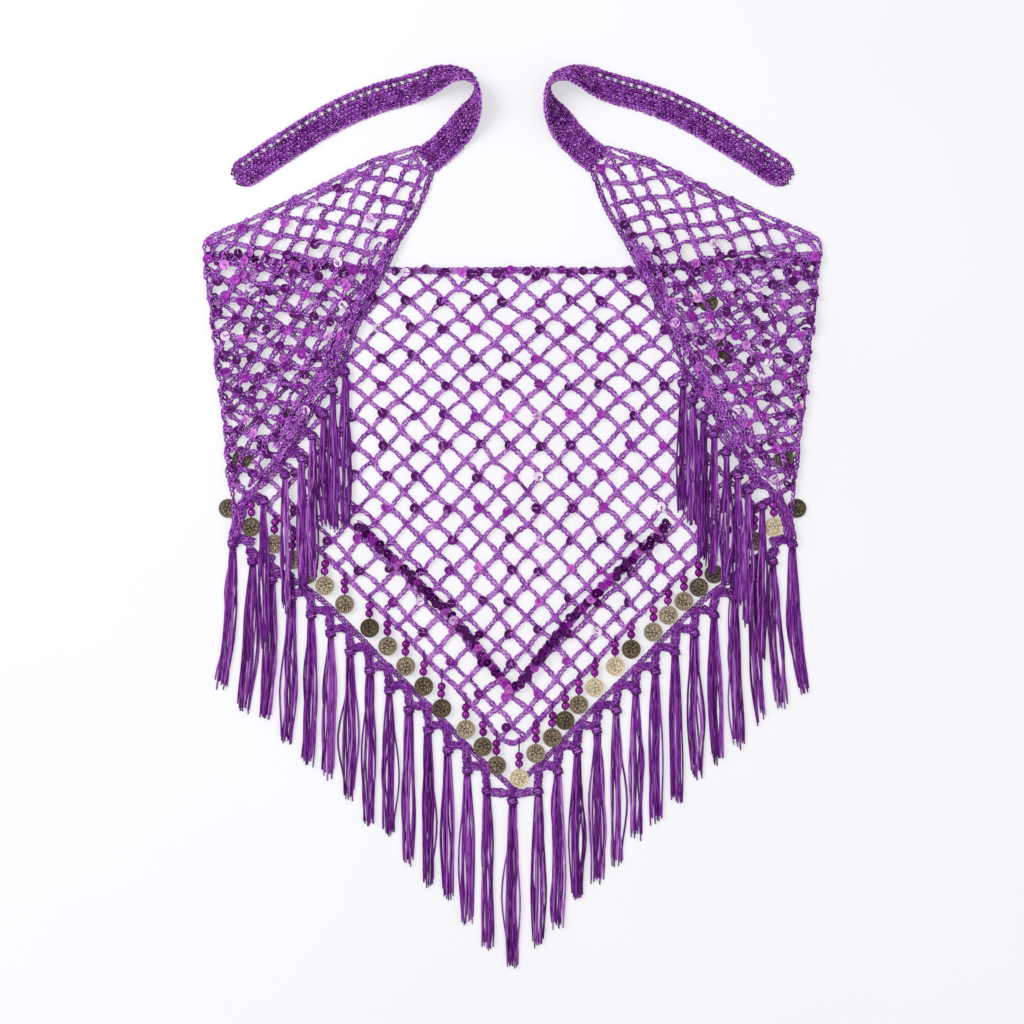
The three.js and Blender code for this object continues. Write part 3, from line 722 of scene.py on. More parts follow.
def bead_finish(colour):
    """Pearly glass beads."""
    n = Nodes("pearl_bead")
    base = tuple(colour)
    body = n.ramp(n.shade(), [(0.0, deeper(base, 0.7)), (1.0, brighter(base, 0.1))])
    n.join(n.mix(n.spread(n.noise(240.0), 0.3, 0.7, 0.5, 0.0), body, deeper(base, 0.5)),
           n.shader.inputs["Base Color"])
    n.set(Metallic=0.75, Roughness=0.2, Specular_Tint=VIOLET_GLOSS, Coat_Weight=0.25, Coat_Roughness=0.05)
    return n.material


def floor_finish():
    """White paper, lit evenly, that also glows: painted light that keeps the shadows on it pale."""
    n = Nodes("white_paper")
    n.join(n.ramp(n.noise(3.0), [(0.3, (0.42, 0.42, 0.425)), (0.7, (0.44, 0.44, 0.44))]),
           n.shader.inputs["Base Color"])
    # painted light: the emission makes the paper glow though it is no lamp
    n.set(Roughness=0.9, Specular_IOR_Level=0.1, Emission_Color=(0.97, 0.965, 1.0, 1.0),
          Emission_Strength=0.51)
    return n.material


MAKERS = {
    "yarn": yarn_finish,
    "tassel_thread": thread_finish,
    "sequin": sequin_finish,
    "coin": coin_finish,
    "bead": bead_finish,
}
MATERIALS = {}


def finish_of(kind):
    """The material for a kind of surface, made once."""
    if kind not in MATERIALS:
        MATERIALS[kind] = MAKERS[kind](getattr(bpy.context.scene.shawl_colours, kind))
    return MATERIALS[kind]


def dress(piece, slot, *nodes):
    """Puts a finished piece on the shawl in place of its plain solids."""
    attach(piece, "root")
    if nodes:
        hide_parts(*nodes)
    return piece


# ---------------------------------------------------------------- what a user can change
class ShawlYarn(bpy.types.PropertyGroup):
    yarn: FloatProperty(name="Yarn", description="Thickness of the crochet yarn",
                        default=0.0021, min=0.0005, max=0.003, unit="LENGTH")
    chain_width: FloatProperty(name="Chain width", description="Width of one crochet chain",
                               default=0.0055, min=0.002, max=0.008, unit="LENGTH")
    loop_pitch: FloatProperty(name="Loop pitch", description="Distance from one loop of a chain to the next",
                              default=0.0046, min=0.002, max=0.008, unit="LENGTH")
    loop_steps: IntProperty(name="Loop steps", description="Faces round each crochet loop",
                            default=7, min=6, max=16)
    seed: IntProperty(name="Seed", description="Start of the hand's small unevenness", default=7)


class ShawlTrims(bpy.types.PropertyGroup):
    strand: FloatProperty(name="Strand", description="Thickness of a tassel strand",
                          default=0.0019, min=0.0008, max=0.004, unit="LENGTH")
    strands: IntProperty(name="Strands", description="Strands in a tassel", default=13, min=3, max=16)
    sequin: FloatProperty(name="Sequin", description="Diameter of a sequin",
                          default=0.0088, min=0.004, max=0.015, unit="LENGTH")


class ShawlColours(bpy.types.PropertyGroup):
    yarn: FloatVectorProperty(name="Yarn", description="Colour of the net and ties", subtype="COLOR",
                              size=3, min=0, max=1, default=(0.33, 0.062, 0.48))
    tassel_thread: FloatVectorProperty(name="Tassels", description="Colour of the tassels and border",
                                       subtype="COLOR", size=3, min=0, max=1, default=(0.235, 0.035, 0.365))
    sequin: FloatVectorProperty(name="Sequins", description="Colour of most sequins", subtype="COLOR",
                                size=3, min=0, max=1, default=(0.098, 0.004, 0.128))
    coin: FloatVectorProperty(name="Coins", description="Colour of a half-bright coin", subtype="COLOR",
                              size=3, min=0, max=1, default=(0.43, 0.36, 0.26))
    bead: FloatVectorProperty(name="Beads", description="Colour of the beads over the coins",
                              subtype="COLOR", size=3, min=0, max=1, default=(0.29, 0.004, 0.31))


# ---------------------------------------------------------------- operators
class SHAWL_OT_back_net(bpy.types.Operator):
    """Crochet the open net of the back, with its double-chain edges"""

    bl_idname = "shawl.back_net"
    bl_label = "Back Net"

    hem_clearance = 8.0  # legs that run this close along the hem are left to its chains
    top_chains = (-0.2, -2.2)
    hem_chains = (0.3, -1.1)

    def execute(self, context):
        settings = context.scene.shawl_yarn
        rng = np.random.default_rng(settings.seed)
        loop = crochet_loop(settings)
        pitch = settings.loop_pitch / MM
        nodes, rows = back_lattice(rng)
        starts, ends = [], []
        for row, here, below in zip(rows, nodes[:-1], nodes[1:]):
            if row % 2:
                pairs = [(here[1:], below[:-1]), (here, below)]
            else:
                pairs = [(here, below), (here[:-1], below[1:])]
            for start, end in pairs:
                starts.append(start)
                ends.append(end)
        legs = net_of_legs(np.vstack(starts), np.vstack(ends), rng)
        outline = back_outline()
        hem_line = mirrored_whole(BACK_HEM[::-1])
        keep = inside(outline, legs[0]) & ~runs_beside(hem_line, legs[0], legs[1], self.hem_clearance)
        at, along, spans, rolls = (part[keep] for part in legs)
        knots = nodes.reshape(-1, 2)
        knots = knots[inside(outline, knots)]
        for side, sign in SIDES.items():
            heap = Heap()
            half = at[:, 0] * sign >= 0
            add_net(heap, loop, at[half], along[half], spans[half], rolls[half], lay_back, rng, pitch)
            knit_knots(heap, loop, *lay_back(knots[knots[:, 0] * sign >= 0]), rng)
            edges = Heap()
            for table, offsets in ((BACK_TOP, self.top_chains), (BACK_HEM, self.hem_chains)):
                where, _ = lay_back(np.array(table, float))
                chains_beside(edges, loop, smooth_line(where, 6), offsets, sign, rng, swing=0.6, size=0.82)
            edge = dress(edges.piece(f"back_edge_{side}", [finish_of("yarn")]), "yarn", "net_back")
            piece = dress(heap.piece(f"crochet_back_{side}", [finish_of("yarn")]), "yarn", "net_back")
        return {"FINISHED"}


class SHAWL_OT_folded_corners(bpy.types.Operator):
    """Crochet the two corners that are folded in, round their folds"""

    bl_idname = "shawl.folded_corners"
    bl_label = "Folded Corners"

    bunched_runs = (4.5, 9.0, 13.0)  # how far in from the corner's inner edge each run starts
    bunched_y = (50, 240)
    edge_rise = 0.2
    run_rise = 1.2

    def bunch(self, heap, loop, line, sign, rng):
        """The net drawn together along the inner edge, as loose chains that wander over each other."""
        plan = even(smooth_line(line, 5), 6)
        steps = np.arange(len(plan))
        for start in self.bunched_runs:
            wander = start + 1.6 * np.sin(steps * 0.5 + rng.uniform(0, 6)) + rng.normal(0, 0.5, len(plan))
            flat = unit(np.gradient(plan, axis=0))
            moved = plan + np.stack([flat[:, 1], -flat[:, 0]], -1) * wander[:, None]
            where, _ = lay_wing(moved, self.run_rise)
            chain(heap, loop, mirrored(smooth_line(where, 4), sign), rng, swing=0.7, size=0.95)

    def edge(self, heap, loop, sign, rng):
        """Double chain along the top, one chain along the inner edge, and one round the fold."""
        y, outer, inner, lifts = wing_table()
        above = y >= FOLD["start_y"]
        top = np.vstack([[FOLD["top_out"] - 1, FOLD["top_y"]],
                         np.stack([outer[above], y[above]], -1), *CORNER_TOP_END])
        inner_line = np.stack([inner, y], -1)
        for line, offsets in ((top, (0.4, 6.6)), (inner_line, (-5.4,))):
            plan = smooth_line(line, 5)
            for offset in offsets:
                where, _ = lay_wing(beside(plan, offset), self.edge_rise)
                chain(heap, loop, mirrored(where, sign), rng, swing=0.6, size=0.84)
        fold_y = np.arange(FOLD["top_y"] - 2, 14, -7.0)
        lift = np.interp(fold_y, y, lifts)
        sway = rng.normal(0, 1.1, len(fold_y))
        contour = np.stack([fold_out(fold_y) - 1.6 + sway, fold_y, lift / 2 + NET / 2], -1)
        contour = smooth_line(np.vstack([contour, *FOLD_END]), 4)
        chain(heap, loop, mirrored(contour, sign), rng, swing=0.9, size=0.85)
        low, high = self.bunched_y
        self.bunch(heap, loop, inner_line[(y > low) & (y < high)], sign, rng)

    def execute(self, context):
        settings = context.scene.shawl_yarn
        loop = crochet_loop(settings)
        pitch = settings.loop_pitch / MM
        outline = wing_outline()
        for side, sign in SIDES.items():
            rng = np.random.default_rng(settings.seed + 10 + int(sign))
            nodes = wing_lattice(rng)
            starts = [nodes[:, :-1].reshape(-1, 2), nodes[:-1].reshape(-1, 2)]
            ends = [nodes[:, 1:].reshape(-1, 2), nodes[1:].reshape(-1, 2)]
            legs = net_of_legs(np.vstack(starts), np.vstack(ends), rng, arch=1.3)
            keep = inside(outline, legs[0])
            at, along, spans, rolls = (part[keep] for part in legs)

            def lay(plan):
                where, facing = lay_wing(plan)
                return mirrored(where, sign), mirrored(facing, sign)

            heap = Heap(CORNER_PAINTED_SHADE)
            add_net(heap, loop, at, along, spans, rolls, lay, rng, pitch, width=1.06)
            knots = nodes.reshape(-1, 2)
            knit_knots(heap, loop, *lay(knots[inside(outline, knots)]), rng)
            edges = Heap(CORNER_PAINTED_SHADE)
            self.edge(edges, loop, sign, rng)
            edge = dress(edges.piece(f"corner_edge_{side}", [finish_of("yarn")]), "yarn", f"net_wing_{side}")
            piece = heap.piece(f"crochet_corner_{side}", [finish_of("yarn")])
            dress(piece, "yarn", f"net_wing_{side}")
        return {"FINISHED"}


class SHAWL_OT_ties(bpy.types.Operator):
    """Crochet the two dense ties, each turning over in a raised loop, with eyelets near the free end"""

    bl_idname = "shawl.ties"
    bl_label = "Ties"

    stitches_across = np.linspace(-0.95, 0.9, 7)
    stitch = {"length": 5.4, "width": 2.35, "yarn": 1.5, "steps": 6, "sides": 4, "lean": 0.7, "taper": 0.55}
    stitch_inset = 0.9
    row_pitch = 3.8
    eyelet_rows = 54
    eyelet_column = 1
    eyelet_length = 0.8  # of the stitches between the eyelets, over the others
    edge_inset = 0.4
    # the band under the stitches is coloured near black: painted shade in the gaps between them
    shade_band = {"inset": 0.8, "below_eyelets": 0.5, "thickness": 0.7, "shade": 0.02}

    def frames(self, side):
        """Centre, direction, crosswise and outward vectors and half width, stitch row by stitch row."""
        route = smooth_line([(out, y, 0) for out, y, _ in TIE_ROUTE], 20)
        known = np.arange(len(TIE_ROUTE)) * 20
        rolls = np.interp(np.arange(len(route)), known, [roll for _, _, roll in TIE_ROUTE])
        line = even(np.hstack([route, rolls[:, None]]), self.row_pitch / 3)
        centre, roll = line[:, :3].copy(), np.radians(line[:, 3])[:, None]
        along = unit(np.gradient(centre, axis=0))
        inward = unit(np.cross(along, UP))
        across = -inward * np.cos(roll) + UP * np.sin(roll)
        through = inward * np.sin(roll) + UP * np.cos(roll)
        travelled = np.concatenate([[0], np.cumsum(np.linalg.norm(np.diff(centre, axis=0), axis=1))])
        from_tip = np.minimum((travelled[-1] - travelled) / TIE["tip_length"], 1)
        half = TIE["width"] / 2 * np.sqrt(1 - TIE["tip_taper"] * (1 - from_tip) ** 2)
        centre[:, 2:] = TIE["width"] / 2 * np.sin(roll) + TIE["thickness"] / 2 * np.abs(np.cos(roll))
        at = np.arange(0, travelled[-1], self.row_pitch)
        parts = [sampled(part, travelled, at) for part in (centre, along, across, through, half[:, None])]
        return [mirrored(part, side) for part in parts[:4]] + [parts[4][:, 0]]

    def execute(self, context):
        settings = context.scene.shawl_yarn
        stitch = loop_shape(**self.stitch)
        for side, sign in SIDES.items():
            rng = np.random.default_rng(settings.seed + 20 + int(sign))
            centre, along, across, through, half = self.frames(sign)
            heap = Heap()
            row = np.arange(len(centre))
            pierced = (row > len(row) - self.eyelet_rows) & (row < len(row) - 2)
            for face in (1, -1):
                for column, spot in enumerate(self.stitches_across):
                    keep = ~(pierced & (row % 2 == 0) & (column == self.eyelet_column))
                    lie = centre + across * (spot * (half - self.stitch_inset))[:, None]
                    lie = lie + along * (0.5 * self.row_pitch * (column % 2))
                    lie = lie + through * (face * rng.uniform(0.55, 1.0, len(lie)))[:, None]
                    heading = along + across * rng.normal(0, 0.1, len(lie))[:, None]
                    sizes = rng.uniform(0.93, 1.08, (len(lie), 3))
                    if column == self.eyelet_column:
                        sizes[pierced, 0] *= self.eyelet_length
                    where = places(lie, heading, through * face, rng.normal(0, 0.22, len(lie)), sizes)
                    heap.copies(stitch, where[keep], rng.uniform(0.0, 0.5, keep.sum()), painted_light_rise=STITCH_PAINTED_LIGHT)
            for edge in (-1, 1):
                line = centre + across * (edge * (half - self.edge_inset))[:, None]
                chain(heap, crochet_loop(settings), line, rng, swing=0.5, size=0.75)
            shade_band = Heap()
            high = half - self.shade_band["inset"]
            low = -np.where(pierced, half * self.shade_band["below_eyelets"], high)
            band = band_shape(centre, across, through, low, high, self.shade_band["thickness"])
            shade_band.add(band, self.shade_band["shade"])
            stitches = dress(heap.piece(f"tie_stitches_{side}", [finish_of("yarn")]), "yarn", f"tie_{side}")
            band = dress(shade_band.piece(f"tie_band_{side}", [finish_of("yarn")]), "yarn", f"tie_{side}")
        return {"FINISHED"}


def band_shape(centre, across, through, low, high, thickness):
    """A thin closed band along its centre line under the dense stitches; the ties colour it as painted shade.
    """
    rows = len(centre)
    corners = []
    for place, face in ((low, 1), (high, 1), (high, -1), (low, -1)):
        corners.append(centre + across * place[:, None] + through * (face * thickness / 2))
    points = np.stack(corners, 1).reshape(-1, 3)
    quads, _ = tube_faces(rows, len(corners), closed=False)
    end = (rows - 1) * 4
    caps = np.array([[0, 3, 2, 1], [end, end + 1, end + 2, end + 3]])
    quads = np.vstack([quads, caps])
    span = points[quads]
    normal = np.cross(span[:, 1] - span[:, 0], span[:, 2] - span[:, 0])
    outward = span.mean(1) - centre[np.minimum(quads[:, 0] // 4, rows - 1)]
    if (normal * outward).sum() < 0:
        quads = quads[:, ::-1]
    return points, quads, np.zeros((0, 3), int)


def knot_place(k):
    """Where a tassel of the open border is knotted, counted from the point."""
    share = k / (BORDER["tassels"] - 1)
    return (
        FIRST_KNOT[0] + BORDER["pitch_out"] * k,
        FIRST_KNOT[1] + BORDER["pitch_y"] * k + BORDER["bow"] * math.sin(math.pi * share),
    )


def tie_knot(heap, x, y, z, rng):
    """The head of a tassel: cord wound over a firm core, coloured near black as painted shade between the
    windings.
    """
    core = turned([(0, 0), (4.2, 0.1), (4.8, 2.0), (3.9, 4.2), (0, 4.9)], 12)
    # painted shade: the core is coloured near black where it shows between the cords
    heap.copies(core, places([[x, y, z]], [[1.0, 0, 0]], UP, 0, (1, 1.1, 1)), np.array([0.02]))
    arch = np.linspace(0, math.pi, 8)
    cord = np.stack([-4.3 * np.cos(arch), 0.8 * np.sin(arch * 2), 1.0 + 4.2 * np.sin(arch)], -1)
    over = swept(cord, 1.05, 6)
    heading = np.array([0.5, 0.55, 0.6, 0.65, 2.3]) + rng.normal(0, 0.08, 5)
    along = np.stack([np.cos(heading), np.sin(heading), 0 * heading], -1)
    shift = np.array([3.5, 1.3, -1.0, -3.2, 3.3])[:, None]
    side = np.stack([-along[:, 1], along[:, 0], 0 * heading], -1) * shift
    narrow = np.abs(shift[:, 0])
    sizes = np.stack([1.02 - 0.1 * narrow, np.ones(5), 1 - 0.1 * narrow], -1)
    where = places(np.array([x, y, z]) + side, along, UP, 0, sizes)
    heap.copies(over, where, rng.uniform(-0.15, 0.2, 5), painted_light_rise=CORD_PAINTED_LIGHT)


# A tassel's strands: points along each, unevenness of the cut, bows of the strays and the rest.
STRAND = {"points": 13, "cut": 3.2, "outer_cut": 2.5, "strays": 0.2, "stray_bow": 4.0, "bow": 1.1,
          "most_bow": 5, "swing": 0.8, "drop": 7, "tip": 0.75}


def hang_tassel(heap, x, y, z, rest, length, half_width, drift, settings, rng):
    """Strands that fan out from under a knot and lie down to their cut ends."""
    count = settings.strands
    radius = settings.strand / MM / 2
    steps = np.linspace(0, 1, STRAND["points"])
    order = rng.permutation(count)
    for i in range(count):
        place = (i + 0.5) / count * 2 - 1
        upper = order[i] % 2
        cut = length + rng.normal(0, STRAND["cut"]) - abs(place) * STRAND["outer_cut"]
        stray = rng.random() < STRAND["strays"]
        bow = rng.normal(0, STRAND["stray_bow"] if stray else STRAND["bow"])
        bow = np.clip(bow, -STRAND["most_bow"], STRAND["most_bow"])
        swing = rng.normal(0, STRAND["swing"])
        phase = rng.uniform(0, 6.3)
        spread = place * (half_width - radius) * (0.42 + 0.58 * np.minimum(steps * 2.6, 1))
        spread = spread * (1 - 0.12 * np.clip(steps * 3 - 2, 0, 1))
        along_x = x + spread + drift * steps**2
        along_x = along_x + bow * np.sin(math.pi * np.clip(steps * 1.25 - 0.25, 0, 1)) ** 2
        along_x = along_x + swing * np.sin(steps * 9 + phase)
        along_y = y - KNOT["length"] * 0.32 - steps * (cut - KNOT["length"] * 0.32)
        low = rest + radius + 0.05 + upper * radius * 1.5
        height = low + (z + 1.6 - low) * np.exp(-steps * length / STRAND["drop"])
        height = np.maximum(height + 0.25 * np.sin(steps * 14 + phase), rest + radius + 0.02)
        path = np.stack([along_x, along_y, height], -1)
        radii = np.full(len(path), radius) * rng.uniform(0.85, 1.08)
        radii[-1] *= STRAND["tip"]
        heap.add(swept(path, radii, 5), rng.random())


def rope(heap, loop, ends, offsets, z, sign, rng, arch=0.0, size=0.85):
    """A few chains side by side from one point to another, crowned in the middle and arched in plan."""
    start, end = np.array(ends[0], float), np.array(ends[1], float)
    share = np.linspace(0, 1, 7)[:, None]
    line = start + (end - start) * share
    line = np.hstack([line, np.full((len(line), 1), z)])
    line[:, 1:2] += arch * np.sin(math.pi * share)
    widest = max(abs(offset) for offset in offsets)
    for offset in offsets:
        rise = 1.2 + 1.3 * (1 - abs(offset) / (widest + 1))
        moved = beside(line, offset) + (0, 0, rise)
        moved[1:-1, :2] += rng.normal(0, 0.35, (len(line) - 2, 2))
        chain(heap, loop, mirrored(moved, sign), rng, swing=0.8, size=size, pitch=ROPE_PITCH)


def crochet_stair(heap, loop, knots, z, sign, rng):
    """Risers from the upper chain down to each knot, and arched treads out from them to the next knot."""
    for (out, y), (next_out, next_y) in zip(knots[:-1], knots[1:]):
        top = read_off(BORDER_CHAIN, out) - BORDER_DROP
        riser = ((out - 0.5, y + 3), (out + 2, top + 0.5))
        tread = ((out - 1, next_y + 2.2), (next_out - 1, next_y + 3.0))
        cluster = ((out - 3.5, top - 4), (out + 4, top - 0.5))
        rope(heap, loop, riser, RISER, z, sign, rng, size=0.92)
        rope(heap, loop, tread, TREAD, z, sign, rng, arch=2.0, size=0.95)
        rope(heap, loop, cluster, (-1.2, 1.2), z + 1.2, sign, rng, size=0.9)


class SHAWL_OT_border(bpy.types.Operator):
    """Crochet the stepped border of the open edge, and knot its tassels"""

    bl_idname = "shawl.border"
    bl_label = "Border and Tassels"

    chain_z = 1.3
    rope_z = 0.1
    knot_z = 0.2
    point_ropes = (((-18.5, -249), (0, -251)), ((0, -251), (18.5, -249)), ((0, -243), (0, -256)))
    point_chain = ((-9.4, -231.2), (0, -239), (9.4, -231.2))

    def execute(self, context):
        settings = context.scene.shawl_yarn
        trims = context.scene.shawl_trims
        loop = crochet_loop(settings)
        thread = finish_of("tassel_thread")
        knots = [knot_place(k) for k in range(BORDER["tassels"])]
        upper = [(out, y - BORDER_DROP, self.chain_z) for out, y in BORDER_CHAIN]
        upper = smooth_line(upper + [(knots[-1][0] - 2, knots[-1][1] + 1, self.chain_z)], 6)
        for side, sign in SIDES.items():
            rng = np.random.default_rng(settings.seed + 30 + int(sign))
            heap, hanks = Heap(), Heap()
            chains_beside(heap, loop, upper, (-0.9, 0.9), sign, rng, swing=0.35, size=0.75)
            crochet_stair(heap, loop, knots, self.rope_z, sign, rng)
            start = 1 if side == "left" else 0
            for k, (out, y) in enumerate(knots):
                tie_knot(heap, out * sign, y, self.knot_z, rng)
                length = TASSEL["length"] - TASSEL["shrink"] * k + TASSEL["sway"] * math.sin(2.1 * k + start)
                drift = TASSEL["flare"] * (k / (BORDER["tassels"] - 1)) ** 3 * sign
                hang_tassel(hanks, out * sign, y, 0, 0, length, TASSEL["half_width"], drift, trims, rng)
            dress(heap.piece(f"border_crochet_{side}", [thread]), "tassel_thread", f"border_{side}")
            dress(hanks.piece(f"border_tassels_{side}", [thread]), "tassel_thread", f"border_{side}")
        rng = np.random.default_rng(settings.seed + 40)
        heap, hanks = Heap(), Heap()
        for ends in self.point_ropes:
            rope(heap, loop, ends, TREAD, self.rope_z, 1, rng)
        apex = smooth_line([(out, y - BORDER_DROP, 1.6) for out, y in self.point_chain], 6)
        chains_beside(heap, loop, apex, (-1.1, 1.1), 1, rng, swing=0.7, size=0.85)
        tie_knot(heap, *POINT_KNOT, self.knot_z, rng)
        hang_tassel(hanks, *POINT_KNOT, 0, 0, POINT_STRANDS, TASSEL["half_width"], 0, trims, rng)
        dress(heap.piece("border_crochet_point", [thread]), "tassel_thread", "border_point")
        dress(hanks.piece("border_tassel_point", [thread]), "tassel_thread", "border_point")
        return {"FINISHED"}


class SHAWL_OT_folded_border(bpy.types.Operator):
    """Crochet the border of the folded corners, with the tassels that hang over the net"""

    bl_idname = "shawl.folded_border"
    bl_label = "Folded Border and Tassels"

    cord = ((236, 19), (243, 6), (247.5, -8), (250, -22))

    def execute(self, context):
        settings = context.scene.shawl_yarn
        trims = context.scene.shawl_trims
        loop = crochet_loop(settings)
        thread = finish_of("tassel_thread")
        line = smooth_line(WING_CHAIN, 6) + (0, 0, 1.5)
        edge_rows = [(y, out) for out, y, _ in WING_CHAIN]
        for side, sign in SIDES.items():
            rng = np.random.default_rng(settings.seed + 50 + int(sign))
            heap, hanks = Heap(), Heap()
            chains_beside(heap, loop, line, (-1.0, 1.0), sign, rng, swing=0.7, size=0.82)
            for out, y, _, _ in WING_TASSELS[side]:
                edge = read_off(edge_rows, y + 4)
                rope(heap, loop, ((edge, y + 5), (out, y + 1)), TREAD, FIRST_LAYER, sign, rng, arch=2.0)
            for ends in zip(self.cord[:-1], self.cord[1:]):
                rope(heap, loop, ends, FOLD_ROPE, FIRST_LAYER, sign, rng)
            for out, y, length, rest in WING_TASSELS[side]:
                tie_knot(heap, out * sign, y, FIRST_LAYER, rng)
                hang_tassel(hanks, out * sign, y, FIRST_LAYER, rest, length, FOLDED_TASSEL_HALF_WIDTH,
                            -sign, trims, rng)
            dress(heap.piece(f"folded_border_{side}", [thread]), "tassel_thread", f"wing_border_{side}")
            dress(hanks.piece(f"folded_tassels_{side}", [thread]), "tassel_thread", f"wing_border_{side}")
        return {"FINISHED"}


def sequin_shape(diameter):
    """A cupped sequin with a hole, dished towards -Z."""
    r = diameter / 2
    profile = [
        (0.7, 0.0), (r * 0.45, 0.0), (r * 0.97, 0.75), (r, 0.95),
        (r * 0.95, 0.95), (r * 0.42, 0.22), (0.7, 0.22),
    ]
    return turned(profile, 10, closed=True)


def stitch_shape():
    """The short stitch that holds a sequin: over its rim from the hole."""
    path = [(0, 0, -0.4), (0.3, 0, 0.6), (2.2, 0, 1.15), (4.2, 0, 1.2), (5.0, 0, -0.4)]
    return swept(path, 0.42, 4)


def scatter_sequins(heap, centres, facing, rng, diameter, bright=1.0):
    """Sequins with their stitches, each leaning its own way and clear of the floor."""
    count = len(centres)
    heading = rng.uniform(0, 2 * math.pi, count)
    along = np.stack([np.cos(heading), np.sin(heading), 0 * heading], -1)
    up = unit(facing + rng.normal(0, SEQUIN_LEAN, (count, 3)) * (1, 1, 0))
    lowest = diameter / 2 * 1.06 * np.sqrt(np.maximum(1 - up[:, 2] ** 2, 0)) + 0.3
    centres = np.stack([centres[:, 0], centres[:, 1], np.maximum(centres[:, 2], lowest)], -1)
    where = places(centres, along, up, 0, rng.uniform(0.92, 1.06, count)[:, None])
    # high shades become painted reflections in the sequin finish; a bright below one gives more of them
    heap.copies(sequin_shape(diameter), where, rng.random(count) ** bright)
    heap.copies(stitch_shape(), where, rng.uniform(0.3, 1, count), 1)


class SHAWL_OT_sequins(bpy.types.Operator):
    """Sew the sequins: scattered over the net and its folded corners, and close along its top"""

    bl_idname = "shawl.sequins"
    bl_label = "Sequins"

    def execute(self, context):
        seed = context.scene.shawl_yarn.seed
        diameter = context.scene.shawl_trims.sequin / MM
        finishes = [finish_of("sequin"), finish_of("yarn")]
        rng = np.random.default_rng(seed)
        nodes, rows = back_lattice(rng)
        rng = np.random.default_rng(seed + 60)
        chosen = nodes[rows % 2 == 1].reshape(-1, 2) + (-3.0, 0.5)
        chosen = chosen + rng.normal(0, 1.0, chosen.shape)
        chosen = chosen[inside(back_outline(), chosen) & (rng.random(len(chosen)) < 0.92)]
        top = even(mirrored_whole(BACK_TOP), 15)[:, :2] + (0, -2.5)
        top = top + rng.normal(0, 1.6, top.shape)
        row = even(mirrored_whole(BACK_TOP), 8.5)[:, :2]
        row = row[np.abs(row[:, 0]) > 112] + (0, -3.5)
        row = row + rng.normal(0, 1, row.shape) * (1.5, 4.5)
        heap = Heap()
        scatter_sequins(heap, *lay_back(np.vstack([chosen, top, row]), SEQUIN_RISE), rng, diameter)
        dress(heap.piece("sequins_back", finishes), "sequin")
        for side, sign in SIDES.items():
            rng = np.random.default_rng(seed + 70 + int(sign))
            knots = wing_lattice(rng)
            knots = knots.reshape(-1, 2) + rng.normal(0, 2.0, (knots.size // 2, 2))
            y, outer, inner, _ = wing_table()
            margin = np.minimum(np.interp(knots[:, 1], y, outer) - knots[:, 0],
                                knots[:, 0] - np.interp(knots[:, 1], y, inner))
            knots = knots[inside(wing_outline(), knots) & (margin > 3)]
            chance = np.where(knots[:, 1] > FOLD["top_y"], 0.16, 0.85)
            knots = knots[rng.random(len(knots)) < chance]
            where, facing = lay_wing(knots, SEQUIN_RISE)
            heap = Heap()
            scatter_sequins(heap, mirrored(where, sign), mirrored(facing, sign), rng, diameter, bright=0.75)
            dress(heap.piece(f"sequins_corner_{side}", finishes), "sequin")
        return {"FINISHED"}


class SHAWL_OT_sequin_cord(bpy.types.Operator):
    """String the overlapping sequins of the pointed cord"""

    bl_idname = "shawl.sequin_cord"
    bl_label = "Sequin Cord"

    pitch = 5.0

    def execute(self, context):
        settings = context.scene.shawl_yarn
        rng = np.random.default_rng(settings.seed + 80)
        half = [(out, y, FIRST_LAYER) for out, y in TRIM_LINE]
        line = smooth_line(mirrored_whole(half), 10)
        heap = Heap()
        for offset in (-2.2, 2.2):
            chain(heap, crochet_loop(settings), beside(line, offset) + (0, 0, 0.6), rng, size=0.9)
            heap.quad_looks[-1][:] = 1
        cuts = even(line, self.pitch)
        centres = (cuts[1:] + cuts[:-1]) / 2
        along = unit(cuts[1:] - cuts[:-1])
        count = len(centres)
        swing = np.where(np.arange(count) % 2, 1.0, -1.0)[:, None]
        side = np.cross(UP, along)
        centres = centres + side * swing * 1.1 + UP * 3.2 + rng.normal(0, 0.5, (count, 3))
        facing = UP + along * rng.uniform(0.25, 0.85, (count, 1))
        facing = facing + side * swing * rng.uniform(0.1, 0.5, (count, 1))
        # high shades become painted reflections in the sequin finish
        shades = rng.random(count) ** 1.2 * 0.93
        shape = sequin_shape(context.scene.shawl_trims.sequin / MM)
        heap.copies(shape, places(centres, side + rng.normal(0, 0.2, side.shape), facing), shades)
        dress(heap.piece("sequin_cord", [finish_of("sequin"), finish_of("yarn")]), "sequin", "sequin_trim")
        return {"FINISHED"}


SHARP_STEP = math.radians(35)  # stamped metal keeps steps over this angle sharp


def coin_shape():
    """A stamped coin: a rim, a ring of dots, and worn strokes, and how bright each point is."""
    r = COIN["diameter"] / 2
    face = 0.85
    rings = np.linspace(7.2, 0.8, 9)
    profile = [(0, 0), (r - 0.3, 0), (r, 0.25), (r, 1.05), (r - 0.35, 1.4), (r - 0.85, 1.35)]
    profile += [(ring, face) for ring in rings] + [(0, face + 0.2)]
    points, quads, tris = turned(profile, 36)
    out = np.hypot(points[:, 0], points[:, 1])
    turn = np.arctan2(points[:, 1], points[:, 0])
    dots = (np.abs(out - 6.4) < 0.2) * np.cos(turn * 18)
    x, y = points[:, 0], points[:, 1]
    wavy = np.sin(1.7 * x + 1.5 * np.sin(1.2 * y)) * np.cos(1.5 * y + 1.3 * np.sin(1.4 * x + 1)) * 2.2
    strokes = (out < 5.7) * wavy
    height = 0.24 * np.clip(dots + strokes, -1, 1) * ((points[:, 2] > 0.7) & (out < 7.3))
    points[:, 2] += height
    tone = np.where(out < 7.3, height * 1.2 - 0.03, 0.1)
    return (points, quads, tris), tone


